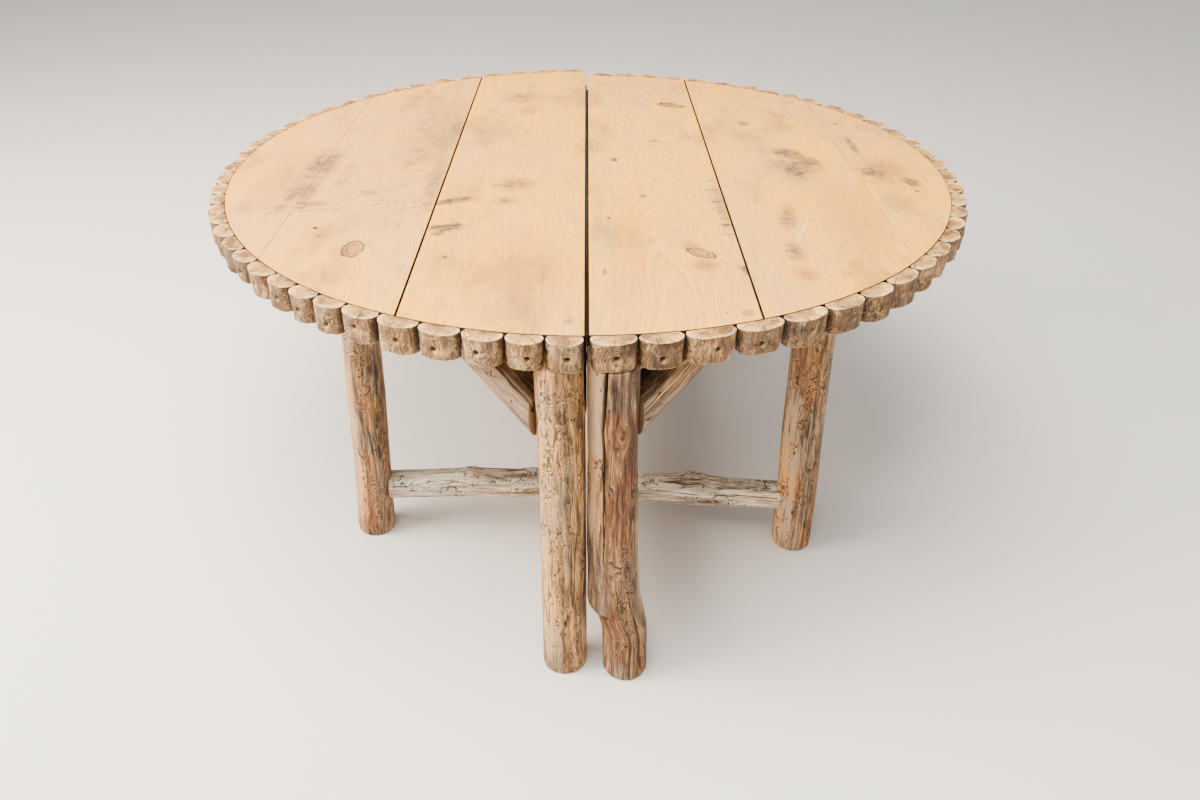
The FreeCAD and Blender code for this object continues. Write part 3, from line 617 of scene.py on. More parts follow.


# Knots, stains and marks of the boards, placed one by one: what it is, the place of its middle
# and its half size across and along the board in metres, its strength, and its turn in degrees.
BOARD_MARKS = {
    "left_outer_board": [
        ("stain", -0.637, -0.030, 0.026, 0.110, 0.50, 0),
        ("stain", -0.642, -0.205, 0.024, 0.055, 0.50, 0),
        ("stain", -0.660, -0.290, 0.030, 0.018, 0.35, 10),
        ("line", -0.655, -0.316, 0.028, 0.0016, 0.70, 8),
        ("line", -0.655, -0.245, 0.016, 0.0024, 0.60, 20),
        ("warm", -0.700, -0.100, 0.050, 0.160, 0.30, 0),
    ],
    "left_middle_board": [
        ("knot", -0.456, -0.499, 0.022, 0.040, 0.62, 0),
        ("warm", -0.480, -0.510, 0.018, 0.040, 0.45, 0),
        ("swirl", -0.440, -0.120, 0.080, 0.150, 0.45, 10),
        ("swirl", -0.400, -0.330, 0.070, 0.110, 0.45, -10),
        ("stain", -0.616, -0.030, 0.024, 0.110, 0.50, 0),
        ("stain", -0.618, -0.200, 0.022, 0.060, 0.45, 0),
        ("line", -0.613, -0.292, 0.011, 0.0060, 0.55, 0),
        ("stain", -0.600, -0.270, 0.034, 0.016, 0.50, 0),
        ("line", -0.554, -0.399, 0.005, 0.0075, 0.85, 30),
        ("line", -0.537, -0.440, 0.004, 0.0060, 0.60, -30),
        ("warm", -0.530, -0.430, 0.030, 0.045, 0.40, 0),
        ("line", -0.575, -0.302, 0.055, 0.0016, 0.65, 10),
        ("line", -0.402, -0.249, 0.080, 0.0011, 0.55, 22),
        ("line", -0.362, -0.282, 0.045, 0.0012, 0.75, 34),
        ("line", -0.485, -0.200, 0.022, 0.0030, 0.45, -30),
        ("warm", -0.485, -0.208, 0.020, 0.022, 0.55, 0),
        ("stain", -0.380, 0.250, 0.090, 0.300, 0.26, 0),
        ("stain", -0.345, -0.150, 0.020, 0.160, 0.35, 0),
    ],
    "left_inner_board": [
        ("stain", -0.163, -0.150, 0.045, 0.040, 0.50, 20),
        ("stain", -0.180, -0.252, 0.028, 0.020, 0.40, 0),
        ("stain", -0.288, -0.250, 0.038, 0.018, 0.80, 28),
        ("line", -0.268, -0.238, 0.014, 0.0040, 0.55, 28),
        ("line", -0.288, -0.389, 0.028, 0.0032, 0.95, 12),
        ("stain", -0.290, -0.396, 0.036, 0.018, 0.70, 10),
        ("line", -0.264, -0.379, 0.006, 0.0050, 0.60, 0),
        ("stain", -0.302, -0.424, 0.014, 0.014, 0.60, 0),
        ("line", -0.271, -0.537, 0.0048, 0.0040, 0.85, -20),
        ("warm", -0.120, -0.600, 0.100, 0.160, 0.40, 0),
        ("stain", -0.185, 0.545, 0.050, 0.060, 0.35, 0),
        ("stain", -0.159, 0.422, 0.030, 0.050, 0.30, 0),
        ("line", -0.030, -0.790, 0.008, 0.0100, 0.35, 0),
        ("swirl", -0.120, 0.100, 0.060, 0.140, 0.20, 0),
    ],
    "right_inner_board": [
        ("knot", 0.221, -0.519, 0.017, 0.034, 0.62, 52),
        ("warm", 0.222, -0.572, 0.030, 0.030, 0.75, 0),
        ("stain", 0.205, -0.490, 0.022, 0.022, 0.40, 30),
        ("knot", 0.277, -0.760, 0.0105, 0.012, 0.40, 0),
        ("stain", 0.235, 0.470, 0.045, 0.022, 0.70, -28),
        ("line", 0.212, 0.487, 0.005, 0.0080, 0.80, 0),
        ("line", 0.270, 0.457, 0.006, 0.0070, 0.70, 0),
        ("stain", 0.067, 0.012, 0.010, 0.014, 0.60, 0),
        ("stain", 0.171, 0.153, 0.014, 0.014, 0.45, 0),
        ("stain", 0.124, -0.223, 0.008, 0.012, 0.55, 0),
        ("swirl", 0.130, -0.300, 0.045, 0.090, 0.18, 0),
        ("line", 0.286, -0.383, 0.012, 0.0045, 0.75, 6),
        ("line", 0.286, -0.350, 0.012, 0.0030, 0.45, 0),
        ("line", 0.284, -0.257, 0.014, 0.0030, 0.65, 0),
        ("line", 0.276, -0.187, 0.022, 0.0028, 0.50, 0),
        ("line", 0.280, -0.130, 0.022, 0.0024, 0.45, 0),
        ("line", 0.282, -0.430, 0.026, 0.0016, 0.40, 0),
        ("stain", 0.290, -0.280, 0.016, 0.130, 0.35, 0),
        ("stain", 0.297, -0.596, 0.009, 0.020, 0.85, 0),
        ("blue", 0.286, -0.582, 0.0055, 0.0060, 0.80, 0),
        ("line", 0.033, -0.600, 0.0035, 0.0130, 0.55, 0),
        ("line", 0.046, -0.346, 0.0040, 0.0060, 0.65, 0),
        ("blue", 0.038, -0.463, 0.0070, 0.0080, 0.45, 0),
        ("warm", 0.080, -0.480, 0.040, 0.240, 0.30, 0),
    ],
    "right_middle_board": [
        ("stain", 0.496, 0.058, 0.026, 0.040, 0.90, 36),
        ("stain", 0.534, 0.003, 0.030, 0.030, 0.50, 40),
        ("stain", 0.421, 0.299, 0.016, 0.020, 0.60, 0),
        ("stain", 0.497, -0.045, 0.060, 0.060, 0.45, 0),
        ("stain", 0.420, -0.340, 0.018, 0.070, 0.45, -10),
        ("blue", 0.428, -0.365, 0.0070, 0.0300, 0.50, -12),
        ("blue", 0.408, -0.292, 0.0050, 0.0080, 0.55, 0),
        ("stain", 0.402, -0.512, 0.018, 0.040, 0.50, 0),
        ("warm", 0.405, -0.614, 0.022, 0.030, 0.65, 0),
        ("chalk", 0.436, -0.416, 0.052, 0.0022, 0.65, 66),
        ("chalk", 0.461, -0.333, 0.036, 0.0020, 0.50, 95),
        ("line", 0.463, -0.357, 0.0035, 0.0040, 0.80, 0),
        ("swirl", 0.448, -0.360, 0.020, 0.040, 0.30, 0),
        ("warm", 0.560, -0.350, 0.070, 0.250, 0.30, 0),
    ],
    "right_outer_board": [
        ("stain", 0.667, -0.075, 0.022, 0.030, 0.75, 0),
        ("line", 0.668, -0.071, 0.010, 0.0040, 0.60, 0),
        ("stain", 0.668, 0.110, 0.010, 0.070, 0.45, 0),
        ("line", 0.664, 0.298, 0.006, 0.0060, 0.65, 0),
        ("stain", 0.742, -0.140, 0.016, 0.026, 0.70, 15),
        ("line", 0.742, -0.132, 0.012, 0.0040, 0.55, -50),
        ("line", 0.736, -0.193, 0.005, 0.0055, 0.70, 0),
        ("stain", 0.700, -0.060, 0.060, 0.090, 0.35, 0),
    ],
}
# For each kind of mark: how far its outline wanders and, both in half sizes, how far from its
# middle it is full and where it ends, then its force.
MARK_KINDS = {
    "stain": (1.4, 0.0, 1.7, 1.9), "line": (1.0, 0.4, 1.7, 1.3), "warm": (1.4, 0.0, 1.7, 1.0),
    "blue": (1.4, 0.0, 1.7, 1.0), "chalk": (0.8, 0.4, 1.4, 1.0), "swirl": (1.4, 0.0, 2.2, 1.0),
    "knot": (0.7, 0.0, 2.6, 1.0),
}
# The heart line that a board's grain bends round: its place across, its depth under the face
# and how much it climbs from front to back, in metres, then how peach-coloured the board is.
BOARD_HEARTS = {
    "left_outer_board": (-0.86, 0.10, 0.05, 0.35), "left_middle_board": (-0.44, 0.07, 0.06, 0.25),
    "left_inner_board": (-0.36, 0.06, -0.05, 0.75), "right_inner_board": (0.20, 0.09, 0.05, 0.65),
    "right_middle_board": (0.68, 0.08, -0.06, 0.55), "right_outer_board": (0.90, 0.10, 0.04, 0.45),
}


def board_wood(node, colours):
    """Wide, flat-sawn boards of pale, dry wood, planed and sanded.

    The grain is the cut of a board through growth rings round a heart line: the distance to
    that line, bent by slow noise and pushed up round knots and swirls, gives rings 5 mm apart
    with fuzzy fibre noise 3 mm wide across them. Knots are orange-brown discs, greyer on one
    side, in a thin dark rim. Stains are soft, lines and swirls thin, and small dark flecks lie
    all over. From just below the face, the sides and underside of a board are painted dark:
    painted shade in the seams and gaps.
    """
    material, tree = blank(node.replace("board", "board_wood"))
    place = add(tree, "TexCoord", out="Object")
    heart_x, heart_depth, climb, peach = BOARD_HEARTS[node]
    slow = add(tree, "VectorMath", {0: place, 1: (1, 0.45, 1)}, operation="MULTIPLY")
    drift = add(tree, "TexNoise", {"Vector": slow, "Scale": 5.5, "Detail": 3.0})
    axes = add(tree, "SeparateXYZ", {0: place}).node.outputs
    aside = add(tree, "Math", {0: axes[0], 1: heart_x}, operation="SUBTRACT")
    wave = add(tree, "Math", {0: drift, 1: 0.10, 2: aside}, operation="MULTIPLY_ADD")
    under = add(tree, "Math", {0: axes[1], 1: climb, 2: heart_depth}, operation="MULTIPLY_ADD")
    flat = add(tree, "CombineXYZ", {0: wave, 1: under})
    rings = add(tree, "VectorMath", {0: flat}, out="Value", operation="LENGTH")
    rough = add(tree, "TexNoise", {
        "Vector": place, "Scale": 42.0, "Detail": 5.0, "Roughness": 0.7,
    }).node.outputs
    totals = dict.fromkeys(MARK_KINDS, 0.0)

    def count(kind, amount, weight):
        totals[kind] = add(tree, "Math", {
            0: amount, 1: weight * MARK_KINDS[kind][3], 2: totals[kind],
        }, operation="MULTIPLY_ADD", use_clamp=True)

    def band(apart, middle, half, height):
        offset = add(tree, "Math", {0: apart, 1: middle}, operation="SUBTRACT")
        offset = add(tree, "Math", {0: offset}, operation="ABSOLUTE")
        return add(tree, "MapRange", {
            "Value": offset, "From Min": 0.0, "From Max": half, "To Min": height, "To Max": 0.0,
        }, interpolation_type="SMOOTHSTEP")

    for kind, x, y, half_x, half_y, strength, turn in BOARD_MARKS[node]:
        spot = add(tree, "Mapping", {
            "Vector": place, "Location": (x, y, TOP), "Rotation": (0, 0, math.radians(turn)),
            "Scale": (half_x, half_y, 1),
        }, vector_type="TEXTURE")
        sway, solid, reach, _ = MARK_KINDS[kind]
        bent = add(tree, "VectorMath", {
            0: rough["Color"], 1: (sway, sway, 0), 2: spot,
        }, operation="MULTIPLY_ADD")
        bent = add(tree, "VectorMath", {0: bent, 1: (sway / 2, sway / 2, 0)}, operation="SUBTRACT")
        apart = add(tree, "VectorMath", {0: bent}, out="Value", operation="LENGTH")
        fade = add(tree, "MapRange", {
            "Value": apart, "From Min": solid, "From Max": reach, "To Min": 1.0, "To Max": 0.0,
        }, interpolation_type="SMOOTHERSTEP")
        if kind in ("knot", "swirl"):
            rings = add(tree, "Math", {
                0: fade, 1: 0.014 if kind == "knot" else 0.030, 2: rings,
            }, operation="MULTIPLY_ADD")
        if kind != "knot":
            count(kind, fade, strength)
            continue
        disc = add(tree, "MapRange", {
            "Value": apart, "From Min": 0.80, "From Max": 1.0, "To Min": 1.0, "To Max": 0.0,
        }, interpolation_type="SMOOTHSTEP")
        local = add(tree, "SeparateXYZ", {0: bent}).node.outputs
        shade = add(tree, "MapRange", {
            "Value": local[0], "From Min": -0.9, "From Max": 0.6, "To Min": 0.58, "To Max": 0.24,
        })
        shade = add(tree, "Math", {0: shade, 1: disc}, operation="MULTIPLY")
        count("line", shade, strength)
        count("warm", disc, 0.30)
        count("line", band(apart, 0.92, 0.20, 1.0), strength)
        count("line", band(apart, 0.50, 0.14, 0.6), strength)

    ripples = add(tree, "TexNoise", {
        "W": rings, "Scale": 215.0, "Detail": 3.0, "Roughness": 0.6,
    }, noise_dimensions="1D")
    long = add(tree, "VectorMath", {0: place, 1: (1, 0.07, 1)}, operation="MULTIPLY")
    fuzz = add(tree, "TexNoise", {
        "Vector": long, "Scale": 310.0, "Detail": 4.0, "Roughness": 0.65, "Distortion": 0.4,
    })
    clouds = add(tree, "TexNoise", {
        "Vector": slow, "Scale": 7.5, "Detail": 5.0, "Roughness": 0.6,
    }, out="Color")
    clouds = add(tree, "SeparateColor", {"Color": clouds}).node.outputs
    line = add(tree, "Mix", {0: 0.68, 2: ripples, 3: fuzz})
    line = add(tree, "MapRange", {
        "Value": line, "From Min": 0.46, "From Max": 0.66, "To Max": 0.58,
    })
    cloud = add(tree, "MapRange", {
        "Value": clouds[0], "From Min": 0.54 - 0.22 * peach, "From Max": 0.74 - 0.22 * peach,
    })
    mottle = add(tree, "MapRange", {
        "Value": rough["Fac"], "From Min": 0.36, "From Max": 0.64, "To Min": 0.40,
    })
    stained = add(tree, "Math", {0: totals["stain"], 1: mottle}, operation="MULTIPLY")
    faint = add(tree, "MapRange", {
        "Value": clouds[1], "From Min": 0.50, "From Max": 0.72, "To Max": 0.42,
    }, interpolation_type="SMOOTHSTEP")
    stained = add(tree, "Math", {0: stained, 1: faint}, operation="ADD", use_clamp=True)

    # Hairlines: thin curls within the swirls, a few elsewhere.
    curl = add(tree, "VectorMath", {0: place, 1: (1, 0.7, 1)}, operation="MULTIPLY")
    hair = level_line(tree, curl, 24.0, 1.6, 0.006, 0.016)
    kept = add(tree, "MapRange", {
        "Value": clouds[2], "From Min": 0.50, "From Max": 0.62, "To Max": 0.22,
    }, interpolation_type="SMOOTHSTEP")
    kept = add(tree, "Math", {0: totals["swirl"], 1: kept}, operation="MAXIMUM")
    hair = add(tree, "Math", {0: hair, 1: kept}, operation="MULTIPLY")
    short = add(tree, "VectorMath", {0: place, 1: (1, 0.6, 1)}, operation="MULTIPLY")
    fleck = pit_marks(tree, short, 70.0, 0.72, 0.07, 0.14)
    # Painted shade: everything more than 0.6 mm below the face is darkened, as the shade in the
    # seams and gaps.
    edge = add(tree, "MapRange", {
        "Value": axes[2], "From Min": TOP - 0.0001, "From Max": TOP - 0.0006, "To Max": 0.98,
    })
    colour = colours.board_pale
    stain = colours.board_stain
    coats = [
        (cloud, colours.board), (line, colours.board_line), (totals["warm"], colours.board_heart),
        (stained, stain), (totals["line"], stain), (totals["blue"], colours.board_blue),
        (totals["chalk"], colours.end_pale), (hair, stain), (fleck, stain),
        (edge, colours.log_dark),
    ]
    for amount, coat in coats:
        colour = add(tree, "Mix", {0: amount, 6: colour, 7: coat}, out=2, data_type="RGBA")
    height = add(tree, "Math", {0: fuzz, 1: fleck}, operation="SUBTRACT")
    finish_wood(tree, colour, 0.60, height, 0.0004)
    return material


def sawn_wood(name, colours):
    """Rough-sawn rails, battens and cleats: saw strokes 6 mm apart on a pale brown grain.

    Within 6 mm of the table's middle, in the gap between the halves, they are painted dark: painted
    shade in the gap.
    """
    material, tree = blank(name)
    place = add(tree, "TexCoord", out="Object")
    long = add(tree, "VectorMath", {0: place, 1: (0.3, 0.3, 1)}, operation="MULTIPLY")
    grain = add(tree, "TexNoise", {
        "Vector": long, "Scale": 120.0, "Detail": 5.0, "Distortion": 0.5,
    })
    patches = add(tree, "TexNoise", {"Vector": place, "Scale": 9.0, "Detail": 3.0})
    mixed = add(tree, "Mix", {0: 0.5, 2: grain, 3: patches})
    colour = add(tree, "ValToRGB", {"Fac": mixed}, stops=[
        (0.35, colours.slice_tan), (0.5, colours.sawn), (0.68, colours.end_middle),
    ])
    strokes = add(tree, "TexWave", {
        "Vector": place, "Scale": 62.0, "Distortion": 1.5, "Detail": 2.0,
    }, out="Fac", bands_direction="DIAGONAL")
    aside = add(tree, "SeparateXYZ", {0: place})
    aside = add(tree, "Math", {0: aside}, operation="ABSOLUTE")
    # Painted shade: the wood within 6 to 12 mm of the middle plane is darkened as the shade of the
    # gap.
    gap_shade = add(tree, "MapRange", {
        "Value": aside, "From Min": 0.006, "From Max": 0.012, "To Min": 0.97, "To Max": 0.0,
    })
    colour = add(tree, "Mix", {
        0: gap_shade, 6: colour, 7: colours.log_dark,
    }, out=2, data_type="RGBA")
    height = add(tree, "Math", {0: strokes, 1: 0.6, 2: grain}, operation="MULTIPLY_ADD")
    finish_wood(tree, colour, 0.75, height, 0.0008)
    return material


def screw_steel(name, colours):
    """Old zinc-plated steel screws, dulled and browned by wood acid."""
    material, tree = blank(name)
    place = add(tree, "TexCoord", out="Object")
    wear = add(tree, "TexNoise", {"Vector": place, "Scale": 600.0, "Detail": 3.0})
    colour = add(tree, "ValToRGB", {"Fac": wear}, stops=[
        (0.35, colours.log_dark), (0.60, colours.screw),
    ])
    roughness = add(tree, "MapRange", {"Value": wear, "To Min": 0.35, "To Max": 0.7})
    skin = add(tree, "BsdfPrincipled", {
        "Base Color": colour, "Metallic": 0.8, "Roughness": roughness,
    })
    add(tree, "OutputMaterial", {"Surface": skin})
    return material


def floor_paint(name, colours):
    """A plain pale floor: matt paint with a very faint cloudiness."""
    material, tree = blank(name)
    place = add(tree, "TexCoord", out="Object")
    clouds = add(tree, "TexNoise", {"Vector": place, "Scale": 1.5, "Detail": 2.0})
    share = add(tree, "Math", {0: clouds, 1: 0.06}, operation="MULTIPLY")
    colour = add(tree, "Mix", {
        0: share, 6: colours.floor, 7: colours.board_pale,
    }, out=2, data_type="RGBA")
    skin = add(tree, "BsdfPrincipled", {"Base Color": colour, "Roughness": 0.8})
    add(tree, "OutputMaterial", {"Surface": skin})
    return material


# ---- pieces


def board_skin(low_x, high_x, half, arris):
    """A board between two seams of the half ellipse, as a stack of upright rings along X.

    At each X the ring is a long rectangle in Y and Z that ends on the ellipse
    y = shift +- length * sqrt(1 - (x / reach)^2), with its corners cut by the arris. The
    first and last ring are drawn in by the arris, so every edge of the board is worn.
    """
    cut = np.array([0.0, arris])
    x = np.concatenate([low_x + cut, np.linspace(low_x, high_x, 26)[1:-1], high_x - cut[::-1]])
    inset = np.zeros(len(x))
    inset[[0, -1]] = arris
    flank = half["length"] * np.sqrt(np.clip(1 - (x / HALF_REACH) ** 2, 0.0, 1)) - inset - RIM_GAP
    flank = np.maximum(flank, 0.002)
    span = np.linspace(-1, 1, 60)
    top = TOP - inset
    low = BOARD_LOW + inset
    bevel = np.minimum(arris, flank / 2)
    y_top = span[None, :] * (flank - bevel)[:, None]
    y_side = np.stack([flank, flank], axis=1)
    y = np.concatenate([y_top, y_side, y_top[:, ::-1], -y_side], axis=1) + half["shift"]
    full = np.ones((1, len(span)))
    z_side = np.stack([top - arris, low + arris], axis=1)
    z = np.concatenate([
        top[:, None] * full, z_side, low[:, None] * full, z_side[:, ::-1],
    ], axis=1)
    return np.stack([np.broadcast_to(x[:, None], y.shape), y, z], axis=-1)[:, ::-1]


def slice_skin(middle, outward, width, height, cheek, projection, hole, depth, seed):
    """One half-log slice as a stack of level rings, with its sunk screw hole.

    In plan the ring runs round the bark side, out = cheek + (projection - cheek) * sin(a)
    and aside = -width / 2 * cos(a), swollen by slow noise and drawn in below, and back along
    the flat, whose corners are lost. The hole pushes the skin inwards by its depth under a
    steep bell round its middle, with a shallow chip below it, painted pale: partly fresh wood,
    partly a painted highlight. The floor of the hole, the flat and the skin beside the
    neighbouring slices are painted dark: painted shade.
    """
    chance = np.random.default_rng(seed)
    hole_turn = math.pi / 2 + chance.uniform(-0.25, 0.25)
    hole_z = height / 2 + chance.uniform(-0.008, 0.006)
    step = 0.0022 / (projection + width / 2)
    dense = hole_turn + step * np.arange(-8, 9)
    turn = np.concatenate([
        np.linspace(0.0, dense[0], 13)[:-1], dense, np.linspace(dense[-1], math.pi, 13)[1:],
    ])
    levels = np.concatenate([
        np.linspace(0.0018, hole_z - 0.0085, 8)[:-1], hole_z + 0.0011 * np.arange(-8, 9),
        np.linspace(hole_z + 0.0085, height - 0.0012, 8)[1:],
    ])
    turn, level = np.meshgrid(turn, levels)
    swell = 1 + 0.075 * ripple(turn * 2, level * 30, seed, turns=3, waves=2.0)
    lump = 0.0010 * ripple(turn * 2, level * 90, seed + 7, turns=14, waves=3.0, count=24)
    taper = 1 - chance.uniform(0.0, 0.17) * (1 - level / height) ** 1.3
    out = cheek + (projection - cheek - 0.002) * np.sin(turn) ** 0.85 * np.minimum(swell, 1.03)
    out = np.minimum(out * taper + lump, projection)
    half_width = width / 2 - 0.0006 * (1 + ripple(turn, level * 90, seed + 3))
    aside = -half_width * (0.4 + 0.6 * taper) * np.cos(turn)
    beside = aside + width / 2 * math.cos(hole_turn)
    apart = np.hypot(beside, level - hole_z)
    chip = np.exp(-(np.hypot(beside - 0.002, level - hole_z + 0.004) / 0.0045) ** 2)
    out = out - depth / (1 + np.exp((apart - hole) / 0.0003)) - 0.0012 * chip
    # Painted shade: the floor of the hole is darkened, and so is the skin within 9 mm of each
    # neighbouring slice.
    pit = 1 / (1 + np.exp((apart - hole * 0.80) / 0.0003))
    joint = np.clip((np.abs(aside) - half_width + 0.009) / 0.009, 0, 1) ** 1.5
    corner = chance.uniform(0.0026, 0.0058)
    back = np.linspace(1, -1, 9)[None, :] * np.full((len(levels), 1), width / 2 - corner)
    flat = np.zeros(back.shape)
    aside = np.concatenate([aside, back], axis=1)
    out = np.concatenate([out, flat], axis=1)
    level = np.concatenate([level, levels[:, None] + flat], axis=1)
    # Painted shade: the flat against the boards is 0.9 dark; the joints and the hole floor are
    # darkened as above.
    dark = np.concatenate([np.maximum(pit, 0.80 * joint), 0.9 + flat], axis=1)
    # The chip below the hole is painted pale: partly fresh wood, partly a painted highlight.
    fresh_chip_and_highlight = np.concatenate([0.75 * chip * (1 - pit), flat], axis=1)

    # Each sawn face is rings drawn in towards a centre. The last two turn down over its edge,
    # which is torn below.
    centre = projection * 0.42
    torn = 0.0016 * np.abs(ripple(aside[0] * 90, out[0] * 90, seed + 5, turns=6, waves=6.0))
    shares = np.array([0.25, 0.5, 0.75, 0.94, 0.985, 0.997])[:, None]
    end_rows = np.array([1.0, 1.0, 1.0, 1.0, 1.0, 0.6])[:, None]
    upper = np.array([0.0, 0.0, 0.0, 0.0, 0.0, 0.0006])[:, None]
    lower = upper + torn
    aside = np.concatenate([aside[0] * shares, aside, aside[-1] * shares[::-1]])
    out = np.concatenate([
        centre + (out[0] - centre) * shares, out, centre + (out[-1] - centre) * shares[::-1],
    ])
    zeros = np.zeros((6, aside.shape[1]))
    level = np.concatenate([lower + zeros, level, height - upper[::-1] + zeros])
    dark = np.concatenate([zeros, dark, zeros])
    fresh_chip_and_highlight = np.concatenate([zeros, fresh_chip_and_highlight, zeros])
    skin_rows = np.zeros((len(levels), aside.shape[1]))
    end = np.concatenate([end_rows + zeros, skin_rows, end_rows[::-1] + zeros])
    along = np.array([-outward[1], outward[0], 0.0])
    upward = np.array([0.0, 0.0, 1.0])
    points = (
        middle + aside[..., None] * along + out[..., None] * outward
        + (level[..., None] + TOP - height) * upward
    )
    vertices, faces = ring_stack(points)
    shift = chance.uniform(0, 9, 3)
    grain = np.stack([aside, out, level], axis=-1) + shift
    heart = chance.uniform(-0.25, 0.25)
    ring = np.hypot(aside / (width / 2) - heart, out / projection + 0.05)
    ray = np.arctan2(aside - heart * width / 2, out + 0.002)
    star = np.stack([3 * np.sin(ray) + shift[0] * 9, 3 * np.cos(ray), ring], axis=-1)
    rim = np.hypot(aside / (width / 2), out / projection)
    values = {
        "grain": stack_values(grain), "dark": stack_values(dark), "end": stack_values(end),
        "ring": stack_values(ring), "star": stack_values(star), "rim": stack_values(rim),
        "fresh_chip_and_highlight": stack_values(fresh_chip_and_highlight), "tone": np.full(len(vertices), chance.uniform(0, 1)),
        "warmth": np.full(len(vertices), chance.uniform(0, 1)),
    }
    hole_out = cheek + (projection - cheek) * math.sin(hole_turn) ** 0.85 - depth
    seat = middle - along * width / 2 * math.cos(hole_turn) + outward * hole_out
    seat = seat + upward * (hole_z + TOP - height)
    return (vertices, faces, values), (seat, outward, along)


def screw_skin(seat, outward, along, radius):
    """A pan-head screw: rings on a quarter ellipse, with a cross recess pressed into the top.

    The recess is as deep as the smaller distance to the two axes of the cross is small.
    """
    upward = np.array([0.0, 0.0, 1.0])
    turn = np.linspace(0, 2 * math.pi, 25)[:-1]
    rise = np.array([0.0, 0.35, 0.7, 0.9, 1.0, 1.0, 1.0, 1.0])
    girth = np.array([1.0, 1.0, 0.9, 0.7, 0.55, 0.4, 0.25, 0.1])
    aside = radius * girth[:, None] * np.cos(turn)
    above = radius * girth[:, None] * np.sin(turn)
    cross = np.exp(-(np.minimum(np.abs(aside), np.abs(above)) / (radius * 0.13)) ** 2)
    reach = np.hypot(aside, above) < radius * 0.6
    out = radius * 0.55 * rise[:, None] - radius * 0.4 * cross * reach
    points = (
        seat + aside[..., None] * along + above[..., None] * upward + out[..., None] * outward
    )
    vertices, faces = ring_stack(points)
    return vertices, faces, {}


def half_slices(side, sizes):
    """Skins of a half's slices and screws, each tangent to the rim where its share falls."""
    half = HALVES[side]
    shares = SLICE_WIDTH_SHARES[side]
    start = -math.acos(GAP / HALF_REACH)
    turns = start + np.concatenate([[0.0], np.cumsum(shares)]) * (-2 * start / sum(shares))
    rim = np.stack([
        half["sign"] * HALF_REACH * np.cos(turns),
        half["shift"] + half["length"] * np.sin(turns), np.zeros(len(turns)),
    ], axis=1)
    slices = []
    screws = []
    for number in range(len(shares)):
        middle_turn = (turns[number] + turns[number + 1]) / 2
        middle = np.array([
            half["sign"] * HALF_REACH * math.cos(middle_turn),
            half["shift"] + half["length"] * math.sin(middle_turn), 0.0,
        ])
        outward = np.array([
            half["sign"] * math.cos(middle_turn) / HALF_REACH,
            math.sin(middle_turn) / half["length"], 0.0,
        ])
        outward /= np.linalg.norm(outward)
        width = np.linalg.norm(rim[number + 1] - rim[number]) - sizes.slice_joint
        height = sizes.slice_height * SLICE_HEIGHT_SHARES[number % len(SLICE_HEIGHT_SHARES)]
        seed = number + (100 if side == "left" else 300)
        skin, seat = slice_skin(
            middle, outward, width, height, sizes.slice_cheek, sizes.slice_projection,
            sizes.screw_hole, sizes.screw_depth, seed,
        )
        slices.append(skin)
        screws.append(screw_skin(*seat, sizes.screw_hole * 0.8))
    return slices, screws


def wrapped(turn, degrees):
    """How far a turn is from a place round a log, -pi to pi."""
    return np.mod(turn - np.radians(degrees) + math.pi, 2 * math.pi) - math.pi


